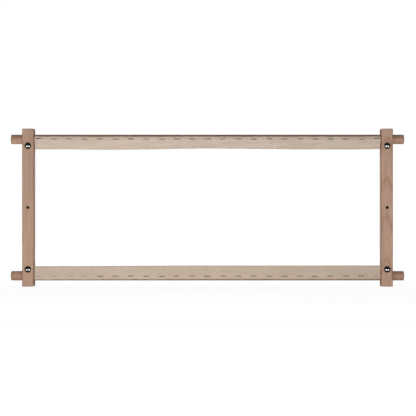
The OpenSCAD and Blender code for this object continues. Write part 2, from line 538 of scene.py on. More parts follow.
# Painted shade beside the saw slits.
SLIT_SIDE_SHADE_TINT = (0.45, 0.38, 0.34)
CUTTER_MARK_TINT = (0.84, 0.81, 0.79)
DOWEL_END_TINT = (0.80, 0.74, 0.70)

# Near-black colours of painted shade, for the floor of the stand hole and for the saw slits' walls.
HOLE_FLOOR_SHADE = paint(46, 30, 22)
SLIT_WALL_SHADE = paint(58, 38, 28)

# Multiplied into an offset, these leave out its part along Y or along X.
WITHOUT_Y = (1.0, 0.0, 1.0)
WITHOUT_X = (0.0, 1.0, 1.0)


@dataclass(frozen=True)
class BeechFinish(Finish):
    """Bare sanded beech, with its figure round a pith line of its own.

    Attributes:
        name: The material's name.
        grain: The direction of the fibres.
        pith: Where the pith line passes the piece, in the grain's own axes.
        tilt: How far the pith line leans from the fibres, in radians round X and Y.
        pale: The early wood's colour.
        deep: The late wood's colour.
        seed: What sets this piece's figure apart.
        low: The piece's lowest corner.
        high: The piece's highest corner.
        ring_width: The width of a year ring.
        ring_depth: How much darker late wood is, from 0 to 1.
        sway: How far the rings stray from round.
        streak: How strongly the fibres show.
        turned: Whether the piece is turned on a lathe and shows its tool marks.
        collars: Points in the working face with dirt and painted shade round a bolt's head, and how far out.
        shaded_hole_floors: The middles of the floors of holes in the working face, and how far out painted
            shade covers them.
        shaded_round_rollers: Points on the rollers' axes, round which the side faces get painted shade, and
            how far out.
        painted_shade_side: Which way along X the side face looks that gets painted shade: 1, -1, or 0 for
            none.
        kerf: The half width of the saw slits in the middle of the piece's depth, or 0.
        kerf_from: How far above and below the middle the slits reach.
        edge_reach: How far from an edge the wood is darker with handling dirt and painted shade.
        collar_fade: Over what distance the dirt and painted shade round a bolt's head fade out.
        roller_shade_fade: Over what distance the painted shade round a roller fades out.
        halo: Over what distance the painted shade beside a slit fades out.
        dark_end: How far in from a dowel's end its edge is darker.
    """

    name: str
    grain: Grain
    pith: Sequence[float]
    tilt: Sequence[float]
    pale: Colour
    deep: Colour
    seed: float
    low: Vector
    high: Vector
    ring_width: float = 2.3 * MM
    ring_depth: float = 0.42
    sway: float = 5.0 * MM
    streak: float = 1.5
    turned: bool = False
    collars: Sequence[tuple[Vector, float]] = ()
    shaded_hole_floors: Sequence[tuple[Vector, float]] = ()
    shaded_round_rollers: Sequence[tuple[Vector, float]] = ()
    painted_shade_side: float = 0.0
    kerf: float = 0.0
    kerf_from: float = 0.0
    edge_reach: float = 1.9 * MM
    collar_fade: float = 1.3 * MM
    roller_shade_fade: float = 11.0 * MM
    halo: float = 3.6 * MM
    dark_end: float = 1.2 * MM

    @property
    def centre(self) -> Vector:
        """The middle of the piece's box."""
        return (self.low + self.high) / 2

    def dress(self, bench: NodeBench, shader: bpy.types.Node) -> None:
        """Lays the figure, then what darkens it, then the tool marks.

        Args:
            bench: The bench on the material's tree.
            shader: The Principled shader.
        """
        spot = bench.add("ShaderNodeTexCoord")
        figure = self.figure(bench, spot)
        streak = bench.math("MULTIPLY_ADD", figure["Fibre"], self.streak, 0.2 - self.streak / 2)
        rings = bench.math("MULTIPLY", figure["Rings"], self.ring_depth)
        colour = bench.blend(bench.math("ADD", rings, streak, clamp=True), self.pale, self.deep)
        colour = bench.tinted(colour, bench.ramp(figure["Blotch"], 0.3, 0.7), BLOTCH_TINT)
        colour = bench.tinted(colour, figure["Fleck"], FLECK_TINT)
        colour = self.end_grain(bench, spot, colour)
        if not self.turned:
            # Handling dirt and painted shade along the edges.
            colour = self.dirt_and_shade_edges(bench, spot, colour)
        # Painted shade on a bar's inner side face.
        if self.painted_shade_side:
            colour = self.paint_side_face_shade(bench, spot, colour)
        colour = self.marks(bench, spot, colour)
        # Painted shade in and beside the saw slits.
        if self.kerf:
            colour = self.slit_shade(bench, spot, colour)
        height = figure["Height"]
        if self.turned:
            colour, height = self.cutter_marks(bench, spot, colour, height)
        bench.feed(shader.inputs["Base Color"], colour)
        bench.feed(shader.inputs["Roughness"], bench.ramp(figure["Fibre"], 0.2, 0.8, 0.50, 0.66))
        shader.inputs["Specular IOR Level"].default_value = 0.35
        bench.feed(shader.inputs["Normal"], bench.bump(height, 0.09 * MM, 0.6))

    def figure(self, bench: NodeBench, spot: bpy.types.Node) -> dict[str, Socket]:
        """Places the figure round the piece's own pith line.

        Args:
            bench: The bench on the material's tree.
            spot: The Texture Coordinate node.

        Returns:
            The figure's outputs by name.
        """
        turn = bench.add("ShaderNodeMapping", vector_type="TEXTURE")
        bench.feed(turn.inputs["Vector"], self.offset(bench, spot, self.centre))
        turn.inputs["Rotation"].default_value = self.grain.value
        lean = bench.add("ShaderNodeMapping", vector_type="POINT")
        bench.feed(lean.inputs["Vector"], turn.outputs[0])
        lean.inputs["Rotation"].default_value = (*self.tilt, 0.0)
        lean.inputs["Location"].default_value = tuple(-value for value in self.pith)
        return BeechFigure().place(
            bench, Place=lean.outputs[0], Ring_Width=self.ring_width, Sway=self.sway, Seed=self.seed
        )

    @staticmethod
    def offset(bench: NodeBench, spot: bpy.types.Node, point: Vector) -> Socket:
        """The way from a point to the shaded place."""
        return bench.vector("SUBTRACT", spot.outputs["Object"], tuple(point))

    def distance(
        self, bench: NodeBench, spot: bpy.types.Node, point: Vector, axes: Sequence[float]
    ) -> Socket:
        """How far the shaded place is from a point, along some axes only."""
        return bench.vector("LENGTH", bench.vector("MULTIPLY", self.offset(bench, spot, point), axes))

    def end_grain(self, bench: NodeBench, spot: bpy.types.Node, colour: Socket) -> Socket:
        """Darkens the faces that cut across the fibres.

        Args:
            bench: The bench on the material's tree.
            spot: The Texture Coordinate node.
            colour: The colour so far.

        Returns:
            The colour with its end grain.
        """
        x, _, z = bench.split(bench.vector("ABSOLUTE", spot.outputs["Normal"]))
        across = z if self.grain is Grain.UPRIGHT else x
        return bench.tinted(colour, bench.ramp(across, 0.72, 0.95), END_GRAIN_TINT)

    def dirt_and_shade_edges(self, bench: NodeBench, spot: bpy.types.Node, colour: Socket) -> Socket:
        """Darkens the wood along the piece's edges with handling dirt and painted shade.

        Args:
            bench: The bench on the material's tree.
            spot: The Texture Coordinate node.
            colour: The colour so far.

        Returns:
            The colour with its darker edges.
        """
        shade = EdgeShade().place(
            bench,
            Place=spot.outputs["Object"],
            Centre=tuple(self.centre),
            Half_Size=tuple((self.high - self.low) / 2),
            Reach=self.edge_reach,
        )
        return bench.tinted(colour, shade["Edge"], EDGE_DIRT_AND_SHADE_TINT)

    def paint_side_face_shade(self, bench: NodeBench, spot: bpy.types.Node, colour: Socket) -> Socket:
        """Darkens one side face with painted shade.

        Args:
            bench: The bench on the material's tree.
            spot: The Texture Coordinate node.
            colour: The colour so far.

        Returns:
            The colour with its darker face.
        """
        facing, _, _ = bench.split(spot.outputs["Normal"])
        inward = bench.math("MULTIPLY", facing, self.painted_shade_side)
        return bench.tinted(colour, bench.ramp(inward, 0.6, 0.95), SIDE_FACE_SHADE_TINT)

    def marks(self, bench: NodeBench, spot: bpy.types.Node, colour: Socket) -> Socket:
        """Darkens the wood: dirt and painted shade round the bolts' heads, painted shade in blind holes and
        round the rollers.

        Args:
            bench: The bench on the material's tree.
            spot: The Texture Coordinate node.
            colour: The colour so far.

        Returns:
            The colour with its marks.
        """
        # Dirt and painted shade round each bolt's head.
        for point, reach in self.collars:
            away = self.distance(bench, spot, point, WITHOUT_Y)
            colour = bench.tinted(colour, bench.fade(away, reach, self.collar_fade), COLLAR_DIRT_AND_SHADE_TINT)
        # Painted shade on the floor of each blind hole.
        for point, reach in self.shaded_hole_floors:
            away = self.distance(bench, spot, point, WITHOUT_Y)
            _, behind, _ = bench.split(self.offset(bench, spot, point))
            in_hole = bench.fade(behind, 0.5 * MM, 0.5 * MM)
            hole_shade = bench.math("MULTIPLY", bench.fade(away, reach, 0.3 * MM), in_hole)
            colour = bench.blend(hole_shade, colour, HOLE_FLOOR_SHADE)
        # Painted shade on the side faces round each roller, where the roller and its tape shade the bar.
        for point, reach in self.shaded_round_rollers:
            away = self.distance(bench, spot, point, WITHOUT_X)
            facing, _, _ = bench.split(bench.vector("ABSOLUTE", spot.outputs["Normal"]))
            on_side = bench.ramp(facing, 0.6, 0.95)
            roller_shade = bench.math("MULTIPLY", bench.fade(away, reach, self.roller_shade_fade), on_side)
            colour = bench.tinted(colour, roller_shade, ROLLER_SHADE_TINT)
        return colour

    def slit_shade(self, bench: NodeBench, spot: bpy.types.Node, colour: Socket) -> Socket:
        """Lays near-black painted shade on the saw slits' walls, and painted shade that fades out on the
        faces beside them.

        Args:
            bench: The bench on the material's tree.
            spot: The Texture Coordinate node.
            colour: The colour so far.

        Returns:
            The colour with the slits' painted shade.
        """
        _, y, z = bench.split(bench.vector("ABSOLUTE", self.offset(bench, spot, self.centre)))
        beyond = bench.ramp(z, self.kerf_from - 0.5 * MM, self.kerf_from + 0.8 * MM)
        wall = bench.math("MULTIPLY", beyond, bench.fade(y, self.kerf + 0.05 * MM, 0.2 * MM))
        halo = bench.math("MULTIPLY", beyond, bench.fade(y, self.kerf, self.halo))
        colour = bench.tinted(colour, halo, SLIT_SIDE_SHADE_TINT)
        return bench.blend(wall, colour, SLIT_WALL_SHADE)

    def cutter_marks(
        self, bench: NodeBench, spot: bpy.types.Node, colour: Socket, height: Socket
    ) -> tuple[Socket, Socket]:
        """Adds the faint rings that a dowel cutter leaves round a roller, and its darker end edges.

        Args:
            bench: The bench on the material's tree.
            spot: The Texture Coordinate node.
            colour: The colour so far.
            height: The surface's height so far.

        Returns:
            The colour and the height with the marks.
        """
        along, _, _ = bench.split(spot.outputs["Object"])
        line = bench.join(along, 0.0, self.seed)
        coarse = bench.noise(line, (330, 1, 1), detail=1.0)
        fine = bench.noise(line, (1500, 1, 1), detail=1.0)
        rings = bench.math("MULTIPLY_ADD", coarse, 0.7, bench.math("MULTIPLY", fine, 0.3))
        colour = bench.tinted(colour, bench.ramp(rings, 0.42, 0.66), CUTTER_MARK_TINT)
        inner = self.high.x - self.dark_end
        fade = self.dark_end / 2
        near_end = bench.ramp(bench.math("ABSOLUTE", along), inner - fade, inner + fade)
        colour = bench.tinted(colour, near_end, DOWEL_END_TINT)
        return colour, bench.math("ADD", height, bench.math("MULTIPLY", rings, 0.8))


@dataclass(frozen=True)
class WebbingFinish(Finish):
    """Undyed cotton webbing, woven to the piece's own flat pattern.

    Attributes:
        name: The material's name.
        pale: The yarn's light tone.
        deep: The yarn's dark tone.
        width: The webbing's width.
        pick: The distance from one cross thread to the next.
        end: The distance from one long thread to the next.
    """

    name: str
    pale: Colour
    deep: Colour
    width: float
    pick: float = 0.62 * MM
    end: float = 0.50 * MM

    def dress(self, bench: NodeBench, shader: bpy.types.Node) -> None:
        """Lays the weave, the toned yarns, painted shade in the gaps, the woven edges and the soft stains.

        Args:
            bench: The bench on the material's tree.
            shader: The Principled shader.
        """
        spot = bench.add("ShaderNodeTexCoord")
        flat = spot.outputs["UV"]
        weave = PlainWeave().place(bench, Flat=flat, Pick=self.pick, End=self.end)
        along, across, _ = bench.split(flat)
        tone = bench.math("MULTIPLY_ADD", weave["Slub"], 0.5, bench.math("MULTIPLY", weave["Yarn"], 0.5))
        colour = bench.blend(bench.ramp(tone, 0.32, 0.70), self.pale, self.deep)
        stain = bench.noise(flat, (11, 60, 1), detail=2.0)
        colour = bench.tinted(colour, bench.ramp(stain, 0.35, 0.75), (0.93, 0.91, 0.90))
        # Painted shade in the gaps between the threads.
        colour = bench.tinted(colour, weave["Gap"], (0.62, 0.57, 0.52))
        margin = bench.math("MINIMUM", across, bench.math("SUBTRACT", self.width, across))
        colour = bench.tinted(colour, bench.ramp(margin, 0.5 * MM, 1.7 * MM, 1.0, 0.0), (0.86, 0.81, 0.76))
        bench.feed(shader.inputs["Base Color"], colour)
        bench.feed(shader.inputs["Roughness"], bench.ramp(weave["Slub"], 0.2, 0.8, 0.82, 0.95))
        shader.inputs["Specular IOR Level"].default_value = 0.2
        shader.inputs["Sheen Weight"].default_value = 0.12
        shader.inputs["Sheen Roughness"].default_value = 0.5
        height = bench.math("ADD", weave["Height"], bench.math("MULTIPLY", weave["Slub"], 0.4))
        bench.feed(shader.inputs["Normal"], bench.bump(height, 0.14 * MM, 0.8))


@dataclass(frozen=True)
class PlateFinish(Finish):
    """Plated steel.

    Attributes:
        name: The material's name.
        colour: The plate's colour.
        dull: The colour of its dull patches.
        smooth: The roughness where it is brightest.
        rough: The roughness where it is dullest.
        pitted: How deep the surface's unevenness is.
    """

    name: str
    colour: Colour
    dull: Colour
    smooth: float
    rough: float
    pitted: float

    def dress(self, bench: NodeBench, shader: bpy.types.Node) -> None:
        """Lays smudges, scratches and a slight unevenness over bright metal.

        Args:
            bench: The bench on the material's tree.
            shader: The Principled shader.
        """
        spot = bench.add("ShaderNodeTexCoord")
        marks = HandlingMarks().place(bench, Place=spot.outputs["Object"])
        patch = bench.ramp(marks["Smudge"], 0.35, 0.7)
        bench.feed(shader.inputs["Base Color"], bench.blend(patch, self.colour, self.dull))
        shader.inputs["Metallic"].default_value = 1.0
        base = bench.ramp(patch, 0.0, 1.0, self.smooth, self.rough)
        worn = bench.math("MULTIPLY_ADD", marks["Scratch"], 0.12, base)
        bench.feed(shader.inputs["Roughness"], worn)
        height = bench.math("MULTIPLY_ADD", marks["Scratch"], -0.4, marks["Smudge"])
        bench.feed(shader.inputs["Normal"], bench.bump(height, self.pitted, 0.5))


@dataclass(frozen=True)
class WireFinish(Finish):
    """Dull, near-black staple wire that also paints the staples' shade, with painted reflection on staples
    whose tone says so.

    Attributes:
        name: The material's name.
        dark: The colour of a dull staple, near black, which also paints its shade.
        light: The colour of a staple with painted reflection.
    """

    name: str
    dark: Colour
    light: Colour

    def dress(self, bench: NodeBench, shader: bpy.types.Node) -> None:
        """Lays the wire's tone and its drawn streaks.

        Args:
            bench: The bench on the material's tree.
            shader: The Principled shader.
        """
        spot = bench.add("ShaderNodeTexCoord")
        tone = bench.add("ShaderNodeAttribute", attribute_name="tone")
        streak = bench.noise(spot.outputs["Object"], (220, 4200, 4200), detail=1.0)
        colour = bench.blend(tone.outputs["Fac"], self.dark, self.light)
        colour = bench.tinted(colour, bench.ramp(streak, 0.4, 0.7), (0.75, 0.74, 0.72))
        bench.feed(shader.inputs["Base Color"], colour)
        shader.inputs["Metallic"].default_value = 0.85
        bench.feed(shader.inputs["Roughness"], bench.ramp(streak, 0.2, 0.8, 0.42, 0.6))
        bench.feed(shader.inputs["Normal"], bench.bump(streak, 0.03 * MM, 0.5))


def middle_of(node: str) -> Vector:
    """The middle of a node's box."""
    low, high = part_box(node)
    return (low + high) / 2


def corner_of(level: Level, side: Side) -> str:
    """A corner's name, as its nodes have it."""
    return f"{level.word}_{side.value}"


def lathe(outline: Sequence[tuple[float, float]], steps: int) -> bmesh.types.BMesh:
    """Turns an outline round the Z axis into a closed shape.

    Args:
        outline: Points as radius and height, from one end to the other or round a ring.
        steps: How many flats the round has.

    Returns:
        The turned shape.
    """
    shape = bmesh.new()
    points = [shape.verts.new((radius, 0.0, height)) for radius, height in outline]
    edges = [shape.edges.new(pair) for pair in zip(points, points[1:])]
    if outline[0][0] > 0:
        edges.append(shape.edges.new((points[-1], points[0])))
    bmesh.ops.spin(
        shape,
        geom=points + edges,
        cent=(0, 0, 0),
        axis=(0, 0, 1),
        angle=FULL_TURN,
        steps=steps,
        use_merge=True,
    )
    bmesh.ops.remove_doubles(shape, verts=shape.verts, dist=SAME_PLACE)
    bmesh.ops.recalc_face_normals(shape, faces=shape.faces)
    return shape


def arc(
    centre: tuple[float, float], radius: float, start: float, end: float, steps: int
) -> list[tuple[float, float]]:
    """Points along an arc.

    Args:
        centre: The arc's centre.
        radius: The arc's radius.
        start: The first point's angle in degrees.
        end: The last point's angle in degrees.
        steps: How many parts it has.

    Returns:
        The points, both ends included.
    """
    angles = [math.radians(start + (end - start) * step / steps) for step in range(steps + 1)]
    return [(centre[0] + radius * math.cos(a), centre[1] + radius * math.sin(a)) for a in angles]


def eased_block(size: Vector, radius: float, segments: int) -> bmesh.types.BMesh:
    """A box with rounded edges, centred on the origin.

    Args:
        size: The box's size.
        radius: The radius of its edges.
        segments: How many flats an edge's round has.

    Returns:
        The block.
    """
    shape = bmesh.new()
    bmesh.ops.create_cube(shape, size=1.0, matrix=Matrix.Diagonal((*size, 1.0)))
    bmesh.ops.bevel(
        shape, geom=shape.edges[:], offset=radius, segments=segments, profile=0.5, affect="EDGES", material=-1
    )
    return shape


def join_shapes(parts: Iterable[bmesh.types.BMesh]) -> bmesh.types.BMesh:
    """Puts several shapes into one, and frees them.

    Args:
        parts: The shapes.

    Returns:
        The one shape.
    """
    whole = bmesh.new()
    for part in parts:
        mesh = bpy.data.meshes.new("part")
        part.to_mesh(mesh)
        part.free()
        whole.from_mesh(mesh)
        bpy.data.meshes.remove(mesh)
    return whole


def move(shape: bmesh.types.BMesh, matrix: Matrix) -> bmesh.types.BMesh:
    """Moves a whole shape."""
    bmesh.ops.transform(shape, matrix=matrix, verts=shape.verts)
    return shape


def loose_object(name: str, shape: bmesh.types.BMesh) -> bpy.types.Object:
    """Makes an object of a shape, and frees the shape.

    Args:
        name: The object's name.
        shape: The shape.

    Returns:
        The object.
    """
    mesh = bpy.data.meshes.new(name)
    shape.to_mesh(mesh)
    shape.free()
    made = bpy.data.objects.new(name, mesh)
    bpy.context.scene.collection.objects.link(made)
    return made


def settle_modifiers(piece: bpy.types.Object) -> None:
    """Puts what a piece's modifiers do into its mesh and takes them off.

    Args:
        piece: The piece.
    """
    bpy.context.view_layer.update()
    graph = bpy.context.evaluated_depsgraph_get()
    mesh = bpy.data.meshes.new_from_object(piece.evaluated_get(graph))
    piece.modifiers.clear()
    piece.data = mesh


def carve(piece: bpy.types.Object, cutters: Sequence[bpy.types.Object]) -> None:
    """Cuts shapes out of a piece and removes the cutters.

    Args:
        piece: The piece to cut.
        cutters: What is taken out of it.
    """
    for cutter in cutters:
        cut = piece.modifiers.new("cut", "BOOLEAN")
        cut.operation = "DIFFERENCE"
        cut.solver = "EXACT"
        cut.object = cutter
    settle_modifiers(piece)
    for cutter in cutters:
        bpy.data.objects.remove(cutter)


def finish_piece(
    piece: bpy.types.Object, finish: Finish, body: str, stands_for: str, crease: float = 32.0
) -> bpy.types.Object:
    """Gives a piece its finish and shading, and fixes it to the frame.

    Args:
        piece: The piece.
        finish: Its finish.
        body: The body it rides on.
        stands_for: The node it replaces.
        crease: The angle in degrees past which an edge stays sharp.

    Returns:
        The same piece.
    """
    piece.data.materials.clear()
    piece.data.materials.append(finish.material())
    for polygon in piece.data.polygons:
        polygon.use_smooth = True
        polygon.material_index = 0
    piece.data.set_sharp_from_angle(angle=math.radians(crease))
    even = piece.modifiers.new("even_normals", "WEIGHTED_NORMAL")
    even.keep_sharp = True
    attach(piece, body)
    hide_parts(stands_for)
    LOG.info("%s: %d faces on %s", piece.name, len(piece.data.polygons), body)
    return piece


# How the pieces' wood differs: where the pith ran, the rings, the colours of early and late wood, and which
# side face of a bar gets painted shade. The right bar's and the top roller's paler colours make up for the
# weaker lamp light on them: painted light.
BAR_WOOD: dict[Side, dict[str, object]] = {
    Side.LEFT: dict(
        pith=(-66 * MM, 38 * MM, 0.0),
        tilt=(0.004, 0.012),
        ring_width=2.3 * MM,
        ring_depth=0.34,
        sway=5.0 * MM,
        streak=1.2,
        pale=paint(192, 158, 136),
        deep=paint(158, 124, 104),
        seed=5.0,
        # The inner side face, looking to +X, gets painted shade.
        painted_shade_side=1.0,
    ),
    Side.RIGHT: dict(
        pith=(0.0, 45.9 * MM, 0.0),
        tilt=(0.044, 0.0),
        ring_width=3.4 * MM,
        ring_depth=0.60,
        sway=1.6 * MM,
        streak=1.5,
        # Paler than the left bar's, to make up for the weaker light on the right: painted light.
        pale=paint(203, 168, 146),
        deep=paint(160, 121, 97),
        seed=3.0,
        # The inner side face, looking to -X, gets painted shade.
        painted_shade_side=-1.0,
    ),
}
ROLLER_WOOD: dict[Level, dict[str, object]] = {
    Level.TOP: dict(
        pith=(30 * MM, 22 * MM, 0.0),
        tilt=(0.006, 0.009),
        # Paler than the bottom roller's, to make up for the weaker light on it: painted light.
        pale=paint(193, 155, 132),
        deep=paint(162, 124, 102),
        seed=8.0,
    ),
    Level.BOTTOM: dict(
        pith=(-26 * MM, 31 * MM, 0.0),
        tilt=(0.011, -0.005),
        pale=paint(187, 149, 127),
        deep=paint(156, 118, 97),
        seed=11.0,
    ),
}


@dataclass
class SideBar:
    """A beech bar, slit at both ends, with roller bores, bolt holes and a stand hole.

    Attributes:
        side: Which bar it is.
        edge: The radius of its eased edges.
        slit: The width of the saw slit.
        slit_run: How far the slit runs past the bolt.
        bore_fit: The roller's clearance in its bore.
        bolt_hole: The bolt hole's radius.
        stand_hole: The stand hole's radius.
        stand_floor: The wood left behind the stand hole.
        lip: How far the rim of a bore is eased.
        drill_point: The depth of the cone that a drill leaves at the floor of a hole.
        past: How far a cutter reaches past the bar's faces.
        collar: How far from a bolt's axis the wood is darkest.
        roller_shade: How far from a roller's axis the painted shade is darkest.
    """

    side: Side
    edge: float = 1.2 * MM
    slit: float = 3.0 * MM
    slit_run: float = 17.3 * MM
    bore_fit: float = 0.08 * MM
    bolt_hole: float = 2.6 * MM
    stand_hole: float = 2.65 * MM
    stand_floor: float = 5.0 * MM
    lip: float = 0.35 * MM
    drill_point: float = 1.2 * MM
    past: float = 1.0 * MM
    collar: float = 6.1 * MM
    roller_shade: float = 9.5 * MM

    @property
    def node(self) -> str:
        """The bar's node."""
        return f"{self.side.value}_side_bar"

    @staticmethod
    def cutter(name: str, shape: bmesh.types.BMesh, place: Vector, axis: Vector) -> bpy.types.Object:
        """A turned shape as a cutter, with its own axis laid along another one at a place."""
        turn = Vector((0, 0, 1)).rotation_difference(axis).to_matrix().to_4x4()
        return loose_object(name, move(shape, Matrix.Translation(place) @ turn))

    def peg_hole(self, place: Vector, thickness: float) -> bpy.types.Object:
        """A cutter for the blind stand hole, with the cone that a drill leaves at its bottom.

        Args:
            place: The middle of the bar.
            thickness: The bar's thickness, front to back.

        Returns:
            The cutter.
        """
        front = -thickness / 2
        bottom = thickness / 2 - self.stand_floor
        wide = self.stand_hole + self.lip + self.past
        outline = [
            (0, bottom),
            (self.stand_hole, bottom - self.drill_point),
            (self.stand_hole, front + self.lip),
            (wide, front - self.past),
            (0, front - self.past),
        ]
        return self.cutter("peg_hole", lathe(outline, 64), place, Vector((0, 1, 0)))

    def drill(self, radius: float, depth: float, place: Vector, axis: Vector) -> bpy.types.Object:
        """A cutter for a hole right through the bar, with its rims eased.

        Args:
            radius: The hole's radius.
            depth: The bar's thickness along the hole.
            place: The middle of the hole.
            axis: The hole's direction.

        Returns:
            The cutter.
        """
        half = depth / 2
        wide = radius + self.lip + self.past
        outline = [
            (0, -half - self.past),
            (wide, -half - self.past),
            (radius, -half + self.lip),
            (radius, half - self.lip),
            (wide, half + self.past),
            (0, half + self.past),
        ]
        return self.cutter("drill", lathe(outline, 72), place, axis)

    def bolt(self, level: Level) -> Vector:
        """The middle of the bolt near one end."""
        return middle_of(f"{corner_of(level, self.side)}_bolt")

    def slit_end(self, level: Level) -> float:
        """The height at which the slit from one end stops, past the bolt."""
        return self.bolt(level).z - level.value * self.slit_run

    def saw(self, level: Level, place: Vector, size: Vector) -> bpy.types.Object:
        """A cutter for the slit in one end.

        Args:
            level: Which end it is.
            place: The middle of the bar.
            size: The bar's size.

        Returns:
            The cutter.
        """
        depth = abs(place.z + level.value * size.z / 2 - self.slit_end(level))
        reach = Vector((size.x * 2, self.slit, depth * 2))
        end = place + Vector((0, 0, level.value * size.z / 2))
        blade = bmesh.new()
        bmesh.ops.create_cube(blade, size=1.0, matrix=Matrix.Diagonal((*reach, 1.0)))
        return loose_object("saw", move(blade, Matrix.Translation(end)))

    def finish(self) -> BeechFinish:
        """The bar's own beech, with dirt and painted shade at the bolts and painted shade at the rollers,
        stand hole and slits.

        Returns:
            The finish.
        """
        low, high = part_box(self.node)
        middle = (low + high) / 2
        stand_floor = Vector((middle.x, high.y - self.stand_floor, middle.z))
        return BeechFinish(
            name=f"beech_{self.side.value}_bar",
            grain=Grain.UPRIGHT,
            low=low,
            high=high,
            collars=tuple((self.bolt(level), self.collar) for level in Level),
            shaded_hole_floors=((stand_floor, self.stand_hole),),
            shaded_round_rollers=tuple((middle_of(f"{level.word}_roller"), self.roller_shade) for level in Level),
            kerf=self.slit / 2,
            kerf_from=self.slit_end(Level.TOP) - (low.z + high.z) / 2,
            **BAR_WOOD[self.side],
        )

    def build(self) -> bpy.types.Object:
        """Makes the bar.

        Returns:
            The bar.
        """
        low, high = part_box(self.node)
        size = high - low
        place = (low + high) / 2
        block = move(eased_block(size, self.edge, 4), Matrix.Translation(place))
        piece = loose_object(f"{self.node}_wood", block)
        cutters = [self.peg_hole(place, size.y)]
        for level in Level:
            roller_low, roller_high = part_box(f"{level.word}_roller")
            bore = (roller_high.z - roller_low.z) / 2 + self.bore_fit
            bore_place = Vector((place.x, place.y, (roller_low.z + roller_high.z) / 2))
            bolt_place = Vector((place.x, place.y, self.bolt(level).z))
            cutters.append(self.drill(bore, size.x, bore_place, Vector((1, 0, 0))))
            cutters.append(self.drill(self.bolt_hole, size.y, bolt_place, Vector((0, 1, 0))))
            cutters.append(self.saw(level, place, size))
        carve(piece, cutters)
        return finish_piece(piece, self.finish(), f"{self.side.value}_frame", self.node)


@dataclass
class Roller:
    """A beech dowel with slightly domed ends.

    Attributes:
        level: Which roller it is.
        edge: The radius of its end's eased edge.
        crown: How far the end's middle stands out.
        steps: How many flats the round has.
    """

    level: Level
    edge: float = 2.0 * MM
    crown: float = 0.8 * MM
    steps: int = 96

    @property
    def node(self) -> str:
        """The roller's node."""
        return f"{self.level.word}_roller"

    def finish(self) -> BeechFinish:
        """The roller's own beech.

        Returns:
            The finish.
        """
        low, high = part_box(self.node)
        return BeechFinish(
            name=f"beech_{self.level.word}_roller",
            grain=Grain.ALONG_ROLLER,
            low=low,
            high=high,
            turned=True,
            **ROLLER_WOOD[self.level],
        )

    def build(self) -> bpy.types.Object:
        """Makes the roller.

        Returns:
            The roller.
        """
        low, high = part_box(self.node)
        radius = (high.z - low.z) / 2
        half = (high.x - low.x) / 2
        shoulder = half - self.crown - self.edge
        part_way = (radius * 0.45, half - 0.2 * self.crown)
        end = [(0.0, half), part_way]
        end += arc((radius - self.edge, shoulder), self.edge, 82, 0, 6)
        rings = [(radius, shoulder * share) for share in (0.94, 0.6, 0.2)]
        upper = end + rings
        lower = [(r, -h) for r, h in reversed(upper)]
        turn = Matrix.Translation((low + high) / 2) @ Matrix.Rotation(math.pi / 2, 4, "Y")
        piece = loose_object(f"{self.node}_dowel", move(lathe(upper + lower, self.steps), turn))
        return finish_piece(piece, self.finish(), f"{self.level.word}_roller_unit", self.node)


